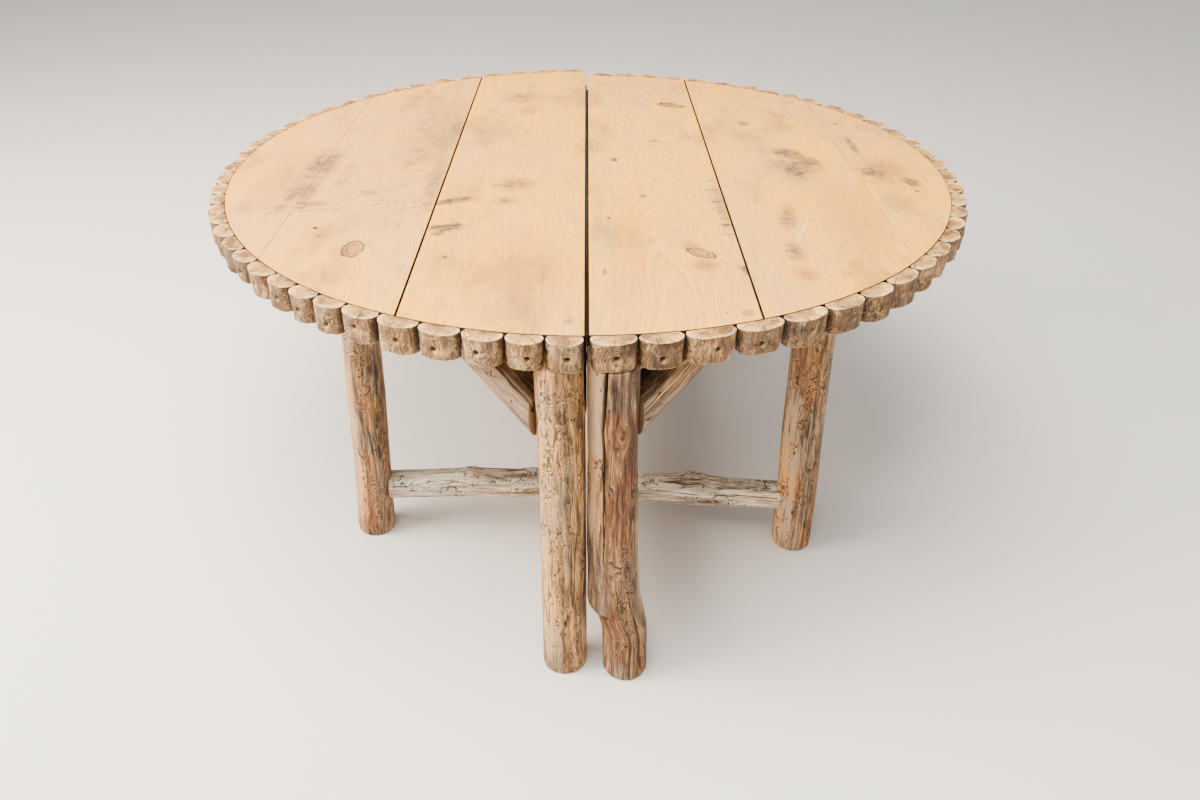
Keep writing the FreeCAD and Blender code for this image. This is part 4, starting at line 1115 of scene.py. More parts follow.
def log_skin(log, sizes):
    """A natural log as a stack of rings from its start to its end.

    A point is start + along * length + (aside, away) drift + radius * (cos a, sin a), where
    the radius follows the section rows and is swollen by slow lobes and ribs, raised by a bell
    round each knot, dimpled in its eye, split along each crack and dented by each scar.
    """
    start = np.array(log["start"], dtype=float)
    run = np.array(log["end"], dtype=float) - start
    length = np.linalg.norm(run)
    axis = run / length
    aside = np.cross([0.0, 0.0, 1.0], axis) if abs(axis[2]) < 0.9 else np.array([1.0, 0.0, 0.0])
    aside /= np.linalg.norm(aside)
    away = np.cross(axis, aside)
    radius = log["radius"]
    seed = log["seed"]

    # Rings: three small ones close each sawn end, four follow its worn edge, the rest are even.
    arris = sizes.log_arris
    quarter = np.linspace(0, math.pi / 2, 5)[:-1]
    edge = arris * (1 - np.cos(quarter))
    body = np.arange(arris, length - arris, log.get("step", 0.003))
    body = np.sort(np.concatenate([body, log.get("breaks", [])]))
    distance = np.concatenate([
        np.zeros(3), edge, body, length - edge[::-1], np.full(3, length),
    ])
    cut = arris * (1 - np.sin(quarter))
    worn = np.concatenate([np.zeros(3), cut, np.zeros(len(body)), cut[::-1], np.zeros(3)])
    scale = np.concatenate([[0.3, 0.65, 0.9], np.ones(len(distance) - 6), [0.9, 0.65, 0.3]])
    sawn = np.concatenate([np.ones(4), np.zeros(len(distance) - 8), np.ones(4)])

    # Columns: closer together where the log is looked at and at its cracks.
    spread = np.linspace(0, 2 * math.pi, 2001)
    density = np.ones(len(spread))
    for degrees, weight, width in log.get("dense", []):
        density += weight * np.exp(-(wrapped(spread, degrees) / width) ** 2)
    total = np.concatenate([[0.0], np.cumsum((density[1:] + density[:-1]) / 2)])
    columns = log.get("columns", 96)
    turn = np.interp(np.arange(columns) / columns * total[-1], total, spread)
    turn, distance = np.meshgrid(turn, distance)
    share = distance / length

    lobes = 0.018 * ripple(turn, distance / 0.10, seed, turns=4, waves=2.5)
    lobes += 0.007 * ripple(turn, distance / 0.03, seed + 11, turns=9, waves=2.5, count=24)
    sway = turn + 0.12 * ripple(turn, distance / 0.06, seed + 17, turns=2, waves=2.0)
    lobes += log.get("ribs", 0.010) * ripple(
        sway, distance / 0.12, seed + 23, turns=26, waves=2.5, count=36, fewest=9,
    )
    size = radius * eased(log["rows"], share, 1) * (1 + lobes)
    dark = np.zeros(turn.shape)
    pale = np.zeros(turn.shape)
    grain_turn = turn.copy()
    for degrees, place, reach, rise in log.get("knots", []):
        sweep = wrapped(turn, degrees)
        level = distance - place * length
        apart = np.hypot(sweep * radius, level * 0.72) / reach
        size += rise * np.exp(-(apart * 0.9) ** 2) - 0.35 * abs(rise) * np.exp(-(apart * 3.2) ** 2)
        dark = np.maximum(dark, 0.85 * np.exp(-(apart * 4.0) ** 2))
        dark = np.maximum(dark, 0.35 * np.exp(-((apart - 0.62) / 0.10) ** 2))
        dark = np.maximum(dark, 0.22 * np.exp(-((apart - 0.95) / 0.08) ** 2))
        grain_turn = grain_turn - sweep * np.exp(-1.1 * apart ** 2)
    for degrees, place, reach, rise in log.get("collars", []):
        aside_share = wrapped(turn, degrees) * radius / reach
        level = distance - place * length + 0.16 * reach * aside_share ** 2
        fade = np.where(level > 0, reach * 2.0, reach * 0.13)
        size += rise * np.exp(-aside_share ** 2 - (level / fade) ** 2)
        # Painted shadow: a dark band just under the collar's bulge.
        under = np.exp(-aside_share ** 2 - ((level + reach * 0.22) / 0.0028) ** 2)
        dark = np.maximum(dark, 0.75 * under)
    for path, width, depth in log.get("cracks", []):
        path = np.array(path)
        centre = np.degrees(np.interp(share, path[:, 0], np.radians(path[:, 1])))
        centre = centre + 0.8 * ripple(0.0, share * 30, seed + 5, turns=1, waves=3.0)
        taper = np.interp(share, path[:, 0], path[:, 2], left=0.0, right=0.0)
        sweep = wrapped(turn, centre)
        gap = np.maximum(width * taper, 1e-6)
        split = np.exp(-(sweep * radius / gap) ** 4) * (taper > 0.02)
        size -= depth * split * np.minimum(taper * 1.5, 1)
        # Painted shade: the inside of each crack is darkened.
        dark = np.maximum(dark, split)
    for degrees, place, half_width, half_height, strength in log.get("scars", []):
        apart = np.hypot(
            wrapped(turn, degrees) * radius / half_width, (distance - place * length) / half_height,
        )
        spot = 1 / (1 + np.exp(np.minimum(apart - 1, 4) / 0.12))
        size -= 0.0016 * strength * spot
        dark = np.maximum(dark, min(1.0, 1.35 * strength) * spot)
    for degrees, place, reach, begin, sweep_turn in log.get("curls", []):
        beside = wrapped(turn, degrees) * radius
        level = (distance - place * length) * 0.8
        round_turn = np.mod(np.arctan2(level, beside) - math.radians(begin), 2 * math.pi)
        track = np.exp(-((np.hypot(beside, level) - reach * (1 + 0.10 * round_turn)) / 0.0009) ** 2)
        dark = np.maximum(dark, 0.8 * track * (round_turn < math.radians(sweep_turn)))
    # Pale bands: paler wood. Those on the front legs' left sides are also painted light falling
    # from the left.
    for degrees, half_turn, low, high in log.get("pale", []):
        sweep = wrapped(turn, degrees)
        band = 1 / (1 + np.exp((np.abs(sweep) - math.radians(half_turn)) / 0.05))
        band *= 1 / (1 + np.exp((low - share) / 0.03)) / (1 + np.exp((share - high) / 0.03))
        pale = np.maximum(pale, band)
    size = (size - worn[:, None]) * scale[:, None]
    drift_aside = log.get("mirror", 1) * eased(log["rows"], share, 2) * radius
    drift_away = eased(log["rows"], share, 3) * radius
    points = (
        start + distance[..., None] * axis
        + (drift_aside + size * np.cos(turn))[..., None] * aside
        + (drift_away + size * np.sin(turn))[..., None] * away
    )
    if "relief" in log:
        way, plane = log["relief"]
        above = points[..., 2] > SLICE_LEDGE
        held = np.maximum(points[..., 1], plane) if way < 0 else np.minimum(points[..., 1], plane)
        points[..., 1] = np.where(above, held, points[..., 1])
    vertices, faces = ring_stack(points)
    grain = np.stack([
        size * np.cos(grain_turn), size * np.sin(grain_turn), distance + seed * 1.7,
    ], axis=-1)
    values = {
        "grain": stack_values(grain), "dark": stack_values(np.clip(dark, 0, 1)),
        "pale": stack_values(pale),
        "end": stack_values(np.broadcast_to(sawn[:, None], turn.shape)),
    }
    return vertices, faces, values


def center_leg_place(half, way):
    """The middle of a centre leg on the floor."""
    return half["sign"] * CENTER_LEG_X, half["shift"] + way * (half["length"] - CENTER_LEG_SET_IN)


def side_leg_place(half, way):
    """The middle of a side leg on the floor."""
    across = half["sign"] * HALF_REACH * half["side_leg_x"]
    return across, way * half["length"] * half["side_leg_y"][way]


CENTER_LEG_ROWS = {
    ("left", -1): SLENDER_LEG, ("left", 1): SPLAYED_LEG,
    ("right", -1): KICKED_LEG, ("right", 1): STRAIGHT_LEG,
}
# The wood of each log and what marks it. Places round a leg are turns in degrees from +X
# towards the back, so its front is at 270, and places along it are shares of its length. A
# cross stretcher runs outwards, its top is at 90, and its front is at 0 on the left half and
# at 180 on the right.
# The pale bands of the front legs lie at 212 to 232 degrees, on their left sides. They are partly
# paler wood and partly painted light from the left.
LOG_MARKS = {
    "left_front_center_leg": {
        "wood": "pale", "columns": 190, "step": 0.0018, "seed": 21, "ribs": 0.008,
        "dense": [(270, 2.4, 1.15)],
        "knots": [
            (286, 0.592, 0.011, 0.0016), (268, 0.592, 0.006, 0.0010), (272, 0.150, 0.008, 0.0010),
        ],
        "scars": [
            (237, 0.940, 0.0014, 0.0045, 0.9), (326, 0.875, 0.0028, 0.0060, 0.8),
            (318, 0.910, 0.0020, 0.0030, 0.6), (322, 0.845, 0.0018, 0.0050, 0.6),
            (292, 0.905, 0.0014, 0.0016, 0.8), (248, 0.351, 0.0020, 0.0036, 0.8),
            (254, 0.280, 0.0018, 0.0020, 0.95), (311, 0.205, 0.0018, 0.0020, 1.0),
            (306, 0.216, 0.0012, 0.0036, 0.8), (274, 0.188, 0.0030, 0.0095, 0.75),
            (271, 0.150, 0.0024, 0.0022, 1.0), (285, 0.655, 0.0014, 0.0050, 0.7),
            (300, 0.648, 0.0012, 0.0014, 0.8), (238, 0.250, 0.0016, 0.0018, 0.7),
            (262, 0.320, 0.0014, 0.0016, 0.8), (283, 0.700, 0.0010, 0.0014, 0.8),
            (244, 0.100, 0.0013, 0.0013, 0.8), (245, 0.735, 0.0030, 0.0060, 0.35),
        ],
        "curls": [
            (254, 0.895, 0.0075, 40, 200), (258, 0.868, 0.0065, 190, 160),
            (277, 0.842, 0.0058, 20, 250), (283, 0.850, 0.0060, 200, 120),
            (275, 0.672, 0.0050, 190, 170), (286, 0.672, 0.0042, 200, 150),
            (246, 0.800, 0.0060, 90, 140), (296, 0.300, 0.0070, 120, 130),
        ],
        "cracks": [([(0.265, 281, 0.0), (0.28, 281, 0.5), (0.325, 279, 0.0)], 0.0012, 0.002)],
        "pale": [(232, 26, 0.05, 0.95)],
    },
    "right_front_center_leg": {
        "wood": "heart", "columns": 200, "step": 0.0020, "seed": 34, "ribs": 0.016,
        "dense": [(270, 1.8, 1.1), (249, 3.0, 0.16)],
        "knots": [
            (290, 0.787, 0.0165, 0.0032), (276, 0.760, 0.008, 0.0018), (268, 0.640, 0.010, 0.0012),
            (278, 0.375, 0.008, 0.0014), (318, 0.600, 0.012, 0.0030),
        ],
        "scars": [
            (305, 0.368, 0.0095, 0.0160, 0.42), (308, 0.375, 0.0030, 0.0040, 0.8),
            (262, 0.620, 0.0016, 0.0050, 0.9), (272, 0.925, 0.0052, 0.0013, 0.85),
            (238, 0.300, 0.0016, 0.0020, 0.9), (268, 0.300, 0.0014, 0.0022, 0.9),
            (299, 0.300, 0.0015, 0.0018, 1.0), (307, 0.300, 0.0015, 0.0018, 1.0),
            (272, 0.126, 0.0036, 0.0030, 0.95), (238, 0.214, 0.0040, 0.0045, 0.95),
            (262, 0.108, 0.0020, 0.0014, 0.7), (296, 0.170, 0.0014, 0.0030, 0.7),
            (284, 0.555, 0.0012, 0.0018, 0.7), (300, 0.700, 0.0014, 0.0030, 0.7),
            (316, 0.935, 0.0012, 0.0016, 0.8), (292, 0.880, 0.0010, 0.0030, 0.6),
            (285, 0.060, 0.0080, 0.0120, 0.25), (300, 0.140, 0.0060, 0.0110, 0.30),
        ],
        "curls": [(300, 0.420, 0.0060, 30, 200), (284, 0.330, 0.0060, 0, 220)],
        "collars": [(212, 0.232, 0.032, 0.0100)],
        "cracks": [
            ([(0.35, 251, 0.0), (0.40, 249, 0.25), (0.594, 248.7, 0.50), (0.68, 248.5, 0.70),
              (0.749, 248.5, 0.90), (0.80, 244, 1.0), (0.87, 249, 1.0), (0.92, 251, 1.0),
              (1.0, 253, 1.0)], 0.0027, 0.016),
            ([(0.03, 312, 0.7), (0.10, 309, 1.0), (0.20, 306, 0.7), (0.34, 300, 0.4),
              (0.36, 300, 0.0)], 0.0013, 0.004),
        ],
        "pale": [(212, 36, 0.50, 1.0)],
    },
    "left_front_side_leg": {
        "wood": "tan", "seed": 47, "ribs": 0.012, "columns": 120,
        "knots": [(285, 0.585, 0.009, 0.0012), (250, 0.15, 0.006, 0.0008)],
        "scars": [
            (262, 0.785, 0.0028, 0.0028, 0.9), (285, 0.890, 0.0022, 0.0050, 0.8),
            (292, 0.830, 0.0024, 0.0022, 0.8), (252, 0.690, 0.0024, 0.0026, 0.9),
            (278, 0.640, 0.0024, 0.0070, 0.7), (300, 0.655, 0.0060, 0.0120, 0.40),
            (262, 0.480, 0.0030, 0.0200, 0.40), (310, 0.460, 0.0040, 0.0220, 0.45),
            (298, 0.350, 0.0024, 0.0026, 0.8), (286, 0.080, 0.0022, 0.0024, 0.8),
            (218, 0.900, 0.0030, 0.0160, 0.45), (236, 0.860, 0.0026, 0.0040, 0.7),
        ],
        "pale": [(215, 30, 0.05, 0.95)],
    },
    "right_front_side_leg": {
        "wood": "tan", "seed": 53, "ribs": 0.009, "columns": 120,
        "knots": [(255, 0.62, 0.006, 0.0008)],
        "scars": [
            (268, 0.900, 0.0050, 0.0240, 0.35), (262, 0.800, 0.0026, 0.0026, 0.9),
            (224, 0.660, 0.0024, 0.0040, 0.9), (285, 0.430, 0.0024, 0.0070, 0.7),
            (288, 0.330, 0.0024, 0.0060, 0.8), (305, 0.345, 0.0024, 0.0024, 0.9),
            (284, 0.225, 0.0028, 0.0028, 1.0), (250, 0.160, 0.0026, 0.0060, 0.7),
            (300, 0.105, 0.0040, 0.0160, 0.45), (318, 0.160, 0.0024, 0.0070, 0.6),
            (240, 0.905, 0.0100, 0.0300, 0.18),
        ],
        "curls": [
            (250, 0.560, 0.0060, 20, 240), (256, 0.530, 0.0055, 200, 200),
            (248, 0.500, 0.0065, 120, 220), (260, 0.480, 0.0055, 300, 200),
            (246, 0.455, 0.0050, 30, 230), (262, 0.190, 0.0070, 30, 200),
            (250, 0.215, 0.0060, 220, 160),
        ],
        "pale": [(222, 28, 0.02, 0.62)],
    },
    "left_back_center_leg": {
        "wood": "tan", "seed": 61, "knots": [(90, 0.62, 0.010, 0.0020), (60, 0.25, 0.008, 0.0014)],
    },
    "right_back_center_leg": {
        "wood": "heart", "seed": 67, "ribs": 0.015, "knots": [(80, 0.40, 0.011, 0.0022)],
        "cracks": [([(0.45, 105, 0.0), (0.70, 102, 0.5), (1.0, 104, 1.0)], 0.0026, 0.008)],
    },
    "left_back_side_leg": {"wood": "pale", "seed": 71, "knots": [(110, 0.55, 0.009, 0.0016)]},
    "right_back_side_leg": {
        "wood": "tan", "seed": 79, "knots": [(70, 0.35, 0.009, 0.0016)],
        "pale": [(95, 25, 0.1, 0.9)],
    },
    "left_front_cross_stretcher": {
        "wood": "grey", "seed": 83, "ribs": 0.014,
        "knots": [
            (98, 0.52, 0.014, 0.0070), (66, 0.49, 0.009, 0.0030), (102, 0.15, 0.013, 0.0060),
            (62, 0.18, 0.008, 0.0022), (40, 0.76, 0.008, 0.0012),
        ],
        "scars": [
            (58, 0.47, 0.0024, 0.0026, 0.9), (66, 0.55, 0.0022, 0.0024, 0.8),
            (48, 0.20, 0.0024, 0.0026, 0.9), (30, 0.90, 0.0020, 0.0022, 0.8),
            (52, 0.94, 0.0020, 0.0022, 0.8), (20, 0.62, 0.0016, 0.0060, 0.6),
        ],
    },
    "right_front_cross_stretcher": {
        "wood": "grey", "seed": 89, "ribs": 0.016,
        "knots": [
            (80, 0.43, 0.019, 0.0105), (112, 0.38, 0.012, 0.0036), (122, 0.13, 0.012, 0.0045),
            (86, 0.62, 0.011, 0.0045), (128, 0.60, 0.009, 0.0018),
        ],
        "scars": [
            (128, 0.11, 0.0026, 0.0030, 0.95), (118, 0.16, 0.0024, 0.0028, 0.95),
            (140, 0.36, 0.0016, 0.0060, 0.7), (132, 0.50, 0.0022, 0.0024, 0.8),
            (150, 0.70, 0.0016, 0.0100, 0.5), (126, 0.84, 0.0020, 0.0022, 0.8),
        ],
        "cracks": [([(0.55, 158, 0.0), (0.75, 154, 1.0), (0.98, 158, 0.6)], 0.0014, 0.004)],
    },
    "left_back_cross_stretcher": {
        "wood": "grey", "seed": 97, "knots": [(100, 0.50, 0.012, 0.0030)],
    },
    "right_back_cross_stretcher": {
        "wood": "grey", "seed": 101, "knots": [(60, 0.60, 0.012, 0.0030)],
    },
    "left_long_stretcher": {
        "wood": "grey", "seed": 103,
        "knots": [(200, 0.35, 0.013, 0.0030), (20, 0.62, 0.012, 0.0028)],
    },
    "right_long_stretcher": {
        "wood": "grey", "seed": 107,
        "knots": [(10, 0.30, 0.012, 0.0030), (160, 0.70, 0.012, 0.0028)],
    },
}
# Tones of a log's wood from its darkest to its lightest, then its weathered tones the same
# way, how much of it is weathered and how much of it is tracked by beetles.
LOG_TONES = {
    "pale": ("321c09", "664420", "91683c", "d89f61", "2d2112", "6c5740", "bc986b", 0.55, 0.55),
    "tan": ("321905", "69411d", "8e6237", "d0955b", "2b1c0d", "66523e", "b79571", 0.70, 0.60),
    "heart": ("2b1102", "5e3412", "7c5029", "b18455", "35200e", "6e553b", "b0906c", 0.60, 0.30),
    "grey": ("5e442a", "c09d7b", "efd1b0", "efe7c8", "564432", "b29982", "efe7c8", 0.90, 0.50),
    "hewn": ("331f0e", "725031", "946c45", "c39868", "302417", "6c5a45", "ab8e6d", 0.80, 0.20),
}


def cleat_skin(low, high):
    """A sawn cleat between two corners of its box, as a stack of upright rings along Y.

    Each ring is a rectangle in X and Z with worn corners, drawn in by up to 0.6 percent where
    slow ripples run along it. The first and last ring are drawn in by the arris. The face
    towards the other half comes to CLEAT_SEAM from the middle plane of the table, so that
    the two cleats keep the light out of the gap.
    """
    worn = 0.0010
    left, right = (CLEAT_SEAM, high[0]) if high[0] > 0 else (low[0], -CLEAT_SEAM)
    y = np.concatenate([[low[1]], np.linspace(low[1] + worn, high[1] - worn, 80), [high[1]]])
    inset = np.zeros((len(y), 1))
    inset[[0, -1]] = worn
    side = np.linspace(0, 1, 10)
    across = left + worn + (right - left - 2 * worn) * side
    upright = low[2] + worn + (high[2] - low[2] - 2 * worn) * side
    x = np.concatenate([across, np.full(10, right), across[::-1], np.full(10, left)])
    z = np.concatenate([np.full(10, low[2]), upright, np.full(10, high[2]), upright[::-1]])
    around, along = np.meshgrid(np.linspace(0, 2 * math.pi, len(x), endpoint=False), y)
    drawn = 1 - 0.006 * np.abs(ripple(around, along * 9, 77, turns=4, waves=3.0))
    middle_x, middle_z = (left + right) / 2, (low[2] + high[2]) / 2
    x = middle_x + (x - middle_x) * drawn * (1 - 2 * inset / (right - left))
    z = middle_z + (z - middle_z) * drawn * (1 - 2 * inset / (high[2] - low[2]))
    points = np.stack([x, along, z], axis=-1)
    vertices, faces = ring_stack(points[:, ::-1])
    return vertices, faces, {}


def brace_skin(base, turn, radius, depth, top, seed, groove):
    """A half-round brace, hewn flat on its upper side and mitred at both ends.

    In section it is a circle of the given radius cut off at the depth. Each point of the
    section runs up the 45 degree slope from the upright plane of the leg to the level plane
    of its seat. The groove, where there is one, is a crack beside the flat's outer edge,
    painted dark inside: painted shade.
    """
    lean = math.radians(45)
    edge = math.acos((depth - radius) / radius)
    round_turn = np.linspace(edge, 2 * math.pi - edge, 60)
    flat = radius * math.sin(edge) * np.linspace(-1, 1, 32)[1:-1]
    lateral = np.concatenate([radius * np.sin(round_turn), flat])
    normal = np.concatenate([radius + radius * np.cos(round_turn), np.full(30, depth)])
    share = np.concatenate([[0, 0, 0], np.linspace(0, 1, 90), [1, 1, 1]])
    scale = np.concatenate([[0.3, 0.65, 0.95], np.ones(90), [0.95, 0.65, 0.3]])
    lateral, along = np.meshgrid(lateral, share)
    normal = np.broadcast_to(normal, lateral.shape)
    around = np.arctan2(lateral, normal - radius)
    hewn = normal > depth - 1e-9
    rough = ripple(around, along * 9, seed, turns=6, waves=2.5)
    facets = np.abs(ripple(lateral * 40, along * 7, seed + 3, turns=2, waves=3.0))
    grow = np.where(hewn, 0.0, 0.010 * rough - 0.005)
    lateral = lateral * (1 + grow)
    normal = radius + (normal - radius) * (1 + grow) - np.where(hewn, 0.0016 * facets, 0.0)
    dark = np.zeros(lateral.shape)
    if groove:
        beside = (lateral - groove * radius * math.sin(edge) * 0.80) / 0.0032
        split = np.exp(-beside ** 4) * hewn * np.clip(1.3 - along, 0, 1)
        normal = normal - 0.012 * split
        # Painted shade: the inside of the crack is darkened.
        dark = np.maximum(dark, split)
    lateral = lateral * scale[:, None]
    normal = depth / 2 + (normal - depth / 2) * scale[:, None]
    low = normal * math.tan(lean)
    high = (top - normal * math.cos(lean)) / math.sin(lean)
    slope = low + (high - low) * along
    x = slope * math.cos(lean) - normal * math.sin(lean)
    z = slope * math.sin(lean) + normal * math.cos(lean)
    cos_turn, sin_turn = math.cos(turn), math.sin(turn)
    points = np.stack([
        base[0] + x * cos_turn - lateral * sin_turn,
        base[1] + x * sin_turn + lateral * cos_turn, base[2] + z,
    ], axis=-1)
    vertices, faces = ring_stack(points[:, ::-1])
    end = (share <= 0) | (share >= 1)
    grain = np.stack([normal - radius, lateral, slope + seed * 1.3], axis=-1)
    values = {
        "grain": stack_values(grain[:, ::-1]), "dark": stack_values(dark[:, ::-1]),
        "pale": stack_values(np.where(hewn, 0.25, 0.0)[:, ::-1]),
        "end": stack_values(np.broadcast_to(end[:, None].astype(float) * 0.6, lateral.shape)),
    }
    return vertices, faces, values


def make_log(node, log, sizes, woods):
    """A marked log in the place of its CAD node."""
    log = {**log, **LOG_MARKS[node]}
    make_piece(node + "_log", [log_skin(log, sizes)], woods[log["wood"]], [node])


def log_materials(colours):
    """The finishes of peeled hickory by name, made once."""
    made = {}
    for name, (*codes, grey_share, track_share) in LOG_TONES.items():
        label = f"peeled_hickory_{name}"
        tones = [linear(code) for code in codes]
        made[name] = bpy.data.materials.get(label) or log_wood(
            label, colours, tones[:4], tones[4:], grey_share, track_share,
        )
    return made


# ---- operators


class HICKORY_OT_boards(bpy.types.Operator):
    """Six wide boards, three to a half, sawn apart along the seams of an ellipse"""

    bl_idname = "hickory.boards"
    bl_label = "Top Boards"

    def execute(self, context):
        colours = context.scene.hickory_colours
        arris = context.scene.hickory_sizes.arris
        for side, half in HALVES.items():
            edges = [GAP, half["seams"][0], half["seams"][1], HALF_REACH * 0.99996]
            seams = [0.0, INNER_SEAM, OUTER_SEAM, 0.0]
            for number, kind in enumerate(["inner_board", "middle_board", "outer_board"]):
                low = edges[number] + seams[number]
                high = edges[number + 1] - seams[number + 1]
                if half["sign"] < 0:
                    low, high = -high, -low
                node = f"{side}_{kind}"
                vertices, faces = ring_stack(board_skin(low, high, half, arris))
                piece = make_piece(
                    node + "_wood", [(vertices, faces, {})], board_wood(node, colours),
                    [node],
                )
                piece.data.polygons.foreach_set(
                    "use_smooth", np.zeros(len(piece.data.polygons), dtype=bool),
                )
        return {"FINISHED"}


class HICKORY_OT_slices(bpy.types.Operator):
    """The ring of half-log slices round the top, with a sunk screw in each"""

    bl_idname = "hickory.slices"
    bl_label = "Edge Slices and Screws"

    def execute(self, context):
        colours = context.scene.hickory_colours
        sizes = context.scene.hickory_sizes
        wood = slice_wood("edge_slice_wood", colours)
        steel = screw_steel("old_screw_steel", colours)
        for side in HALVES:
            slices, screws = half_slices(side, sizes)
            middle = round(len(slices) / 2)
            for end, members in (("front", slices[:middle]), ("back", slices[middle:])):
                node = f"{side}_{end}_slices"
                make_piece(node + "_wood", members, wood, [node])
            make_piece(f"{side}_slice_screws", screws, steel)
        return {"FINISHED"}


class HICKORY_OT_legs(bpy.types.Operator):
    """Eight peeled log legs, two centre legs and two side legs to a half"""

    bl_idname = "hickory.legs"
    bl_label = "Log Legs"

    def execute(self, context):
        sizes = context.scene.hickory_sizes
        woods = log_materials(context.scene.hickory_colours)
        for (side, half), (end, way) in itertools.product(HALVES.items(), WAYS.items()):
            x, y = center_leg_place(half, way)
            make_log(f"{side}_{end}_center_leg", {
                "start": (x, y, 0), "end": (x, y, BOARD_LOW), "radius": CENTER_LEG_RADIUS,
                "rows": CENTER_LEG_ROWS[side, way], "mirror": half["sign"],
                "breaks": [SLICE_LEDGE - 0.0003, SLICE_LEDGE + 0.0003],
                "relief": (way, half["shift"] + way * (half["length"] - CENTER_LEG_RELIEF)),
            }, sizes, woods)
            x, y = side_leg_place(half, way)
            make_log(f"{side}_{end}_side_leg", {
                "start": (x, y, 0), "end": (x, y, BATTEN_LOW), "radius": half["side_leg_radius"],
                "rows": LEANING_LEG if side == "left" else KNOTTY_LEG, "mirror": -half["sign"],
            }, sizes, woods)
        return {"FINISHED"}


class HICKORY_OT_stretchers(bpy.types.Operator):
    """The low logs of each half: one long from front to back and two across to the side legs"""

    bl_idname = "hickory.stretchers"
    bl_label = "Log Stretchers"

    def execute(self, context):
        sizes = context.scene.hickory_sizes
        woods = log_materials(context.scene.hickory_colours)
        for side, half in HALVES.items():
            ends = {}
            for way in WAYS.values():
                x, y = center_leg_place(half, way)
                _, _, aside, away = CENTER_LEG_ROWS[side, way][2]
                ends[way] = np.array([
                    x + half["sign"] * aside * CENTER_LEG_RADIUS, y + away * CENTER_LEG_RADIUS,
                    STRETCHER_HEIGHT,
                ])
            run = ends[1] - ends[-1]
            unit = run / np.linalg.norm(run)
            set_in = CENTER_LEG_RADIUS - LOG_SEAT
            make_log(f"{side}_long_stretcher", {
                "start": ends[-1] + unit * set_in, "end": ends[1] - unit * set_in,
                "radius": STRETCHER_RADIUS, "rows": LONG_LOG, "columns": 80, "step": 0.005,
            }, sizes, woods)
            for end, way in WAYS.items():
                joint = way * half["length"] * half["joint_y"][way]
                inner = ends[-1] + run * ((joint - ends[-1][1]) / run[1])
                outer = np.array([*side_leg_place(half, way), STRETCHER_HEIGHT])
                unit = (outer - inner) / np.linalg.norm(outer - inner)
                make_log(f"{side}_{end}_cross_stretcher", {
                    "start": inner + unit * (STRETCHER_RADIUS - LOG_SEAT),
                    "end": outer - unit * (half["side_leg_radius"] - LOG_SEAT),
                    "radius": STRETCHER_RADIUS, "columns": 110, "step": 0.0025,
                    "rows": LOW_CROSS_LOG if side == "left" else CROSS_LOG,
                }, sizes, woods)
        return {"FINISHED"}


class HICKORY_OT_braces(bpy.types.Operator):
    """Eight hewn half-log braces from the centre legs up to the boards and the rails"""

    bl_idname = "hickory.braces"
    bl_label = "Hewn Braces"

    def execute(self, context):
        woods = log_materials(context.scene.hickory_colours)
        foot = BOARD_LOW - BRACE_DROP
        corners = itertools.product(WAYS.items(), HALVES.items())
        for number, ((end, way), (side, half)) in enumerate(corners):
            sign = half["sign"]
            x, y = center_leg_place(half, way)
            outward = 0 if sign > 0 else 180
            reach = CENTER_LEG_RADIUS + BRACE_CLEARANCE
            braces = [
                ("side_brace", SIDE_BRACE, outward - sign * way * BRACE_YAW, BOARD_LOW),
                ("inner_brace", INNER_BRACE, -90 * way, RAIL_LOW),
            ]
            for kind, (radius, depth, set_back), degrees, seat in braces:
                node = f"{side}_{end}_{kind}"
                turn = math.radians(degrees)
                back = -way * sign * set_back
                base = (
                    x + reach * math.cos(turn) - back * math.sin(turn),
                    y + reach * math.sin(turn) + back * math.cos(turn), foot,
                )
                groove = 1 if node == "left_front_side_brace" else 0
                skin = brace_skin(base, turn, radius, depth, seat - foot, 131 + number * 7, groove)
                make_piece(node + "_log", [skin], woods["hewn"], [node])
        return {"FINISHED"}


class HICKORY_OT_rails(bpy.types.Operator):
    """Rough-sawn rails and battens under the top, and the cleats that close the gap"""

    bl_idname = "hickory.rails"
    bl_label = "Rails and Battens"

    def execute(self, context):
        wood = sawn_wood("rough_sawn_wood", context.scene.hickory_colours)
        for side in HALVES:
            cleat = cleat_skin(*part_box(f"{side}_gap_cleat"))
            make_piece(f"{side}_sawn_cleat", [cleat], wood, [f"{side}_gap_cleat"])
            for kind in ("flat_side_rail", "front_batten", "back_batten"):
                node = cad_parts[f"{side}_{kind}"]
                if node.material_slots:
                    node.material_slots[0].material = wood
                else:
                    node.data.materials.append(wood)
        return {"FINISHED"}


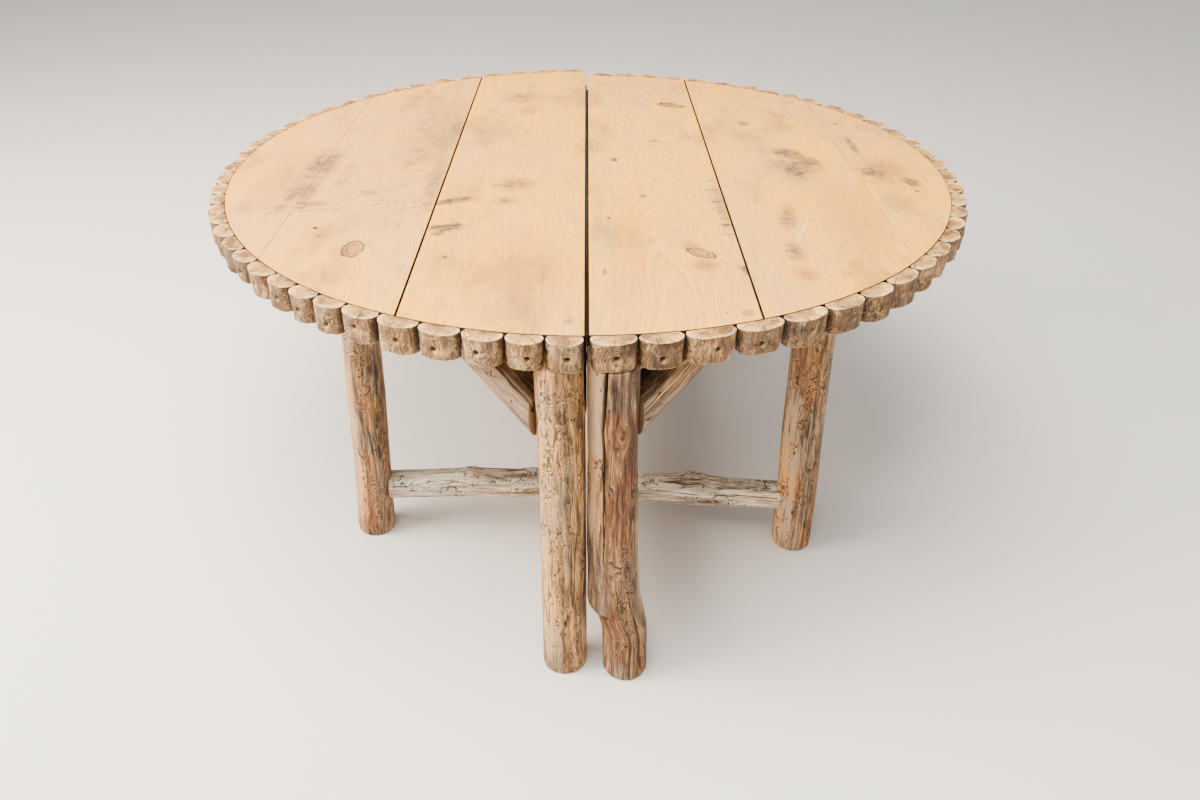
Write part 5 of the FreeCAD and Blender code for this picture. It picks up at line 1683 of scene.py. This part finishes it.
class HICKORY_OT_stage(bpy.types.Operator):
    """Pale floor, soft studio light and the camera at the photographed view"""

    bl_idname = "hickory.stage"
    bl_label = "Floor, Light and Camera"

    def execute(self, context):
        scene = context.scene
        floor_size = 40.0
        corners = np.array([(-1, -1, 0), (1, -1, 0), (1, 1, 0), (-1, 1, 0)]) * floor_size / 2
        mesh = bpy.data.meshes.new("floor")
        mesh.from_pydata(corners, [], [(0, 1, 2, 3)])
        mesh.materials.append(floor_paint("pale_floor", scene.hickory_colours))
        floor = bpy.data.objects.new("floor", mesh)
        scene.collection.objects.link(floor)

        world = bpy.data.worlds.new("studio")
        world.use_nodes = True
        backdrop = world.node_tree.nodes["Background"]
        backdrop.inputs["Color"].default_value = linear("f4f6fa")
        backdrop.inputs["Strength"].default_value = 0.80
        scene.world = world
        lights = [
            ("window_light", (-4.2, -1.0, 2.7), 2.8, 620.0, "fff6ea"),
            ("ceiling_light", (-0.7, -0.9, 3.7), 3.0, 405.0, "fffdf8"),
            ("fill_light", (3.4, -2.4, 2.0), 2.5, 18.0, "fff2e2"),
        ]
        target = np.array([0.0, 0.0, 0.45])
        for name, place, size, power, code in lights:
            lamp = bpy.data.lights.new(name, "AREA")
            lamp.shape = "SQUARE"
            lamp.size = size
            lamp.energy = power
            lamp.color = linear(code)[:3]
            light = bpy.data.objects.new(name, lamp)
            light.location = place
            aim = target - np.array(place)
            level = math.hypot(aim[0], aim[1])
            heading = math.atan2(aim[1], aim[0]) - math.pi / 2
            light.rotation_euler = (math.atan2(level, -aim[2]), 0, heading)
            scene.collection.objects.link(light)

        # The view was fitted to the photograph: lens 29 mm on a 36 mm wide frame of 1200 x 800.
        frame_width = 1200
        frame_height = 800
        focal = 968.7
        centre_x = 586.8
        centre_y = 290.0
        lens = bpy.data.cameras.new("camera")
        lens.sensor_width = 36.0
        lens.lens = focal / frame_width * lens.sensor_width
        lens.shift_x = (frame_width / 2 - centre_x) / frame_width
        lens.shift_y = (centre_y - frame_height / 2) / frame_width
        camera = bpy.data.objects.new("camera", lens)
        camera.location = (0.0, -2.2127, 1.5336)
        camera.rotation_euler = (math.radians(90 - 27.29), 0.0, 0.0)
        scene.collection.objects.link(camera)
        scene.camera = camera
        return {"FINISHED"}


class HICKORY_PT_panel(bpy.types.Panel):
    """Lists the steps that build the table"""

    bl_idname = "HICKORY_PT_panel"
    bl_label = "Hickory Table"
    bl_space_type = "VIEW_3D"
    bl_region_type = "UI"
    bl_category = "Hickory Table"

    def draw(self, context):
        for operator in OPERATORS:
            self.layout.operator(operator.bl_idname)
        for group in (context.scene.hickory_sizes, context.scene.hickory_colours):
            for name in group.bl_rna.properties.keys():
                if name not in ("rna_type", "name"):
                    self.layout.prop(group, name)


OPERATORS = [
    HICKORY_OT_stage, HICKORY_OT_boards, HICKORY_OT_slices, HICKORY_OT_legs,
    HICKORY_OT_stretchers, HICKORY_OT_braces, HICKORY_OT_rails,
]
CLASSES = [HickoryTableColours, HickoryTableSizes, *OPERATORS, HICKORY_PT_panel]


def register():
    for item in CLASSES:
        bpy.utils.register_class(item)
    bpy.types.Scene.hickory_colours = PointerProperty(type=HickoryTableColours)
    bpy.types.Scene.hickory_sizes = PointerProperty(type=HickoryTableSizes)


def unregister():
    del bpy.types.Scene.hickory_sizes
    del bpy.types.Scene.hickory_colours
    for item in reversed(CLASSES):
        bpy.utils.unregister_class(item)


def main():
    register()
    bpy.ops.hickory.stage()
    bpy.ops.hickory.boards()
    bpy.ops.hickory.slices()
    bpy.ops.hickory.legs()
    bpy.ops.hickory.stretchers()
    bpy.ops.hickory.braces()
    bpy.ops.hickory.rails()


if __name__ == "__main__":
    main()
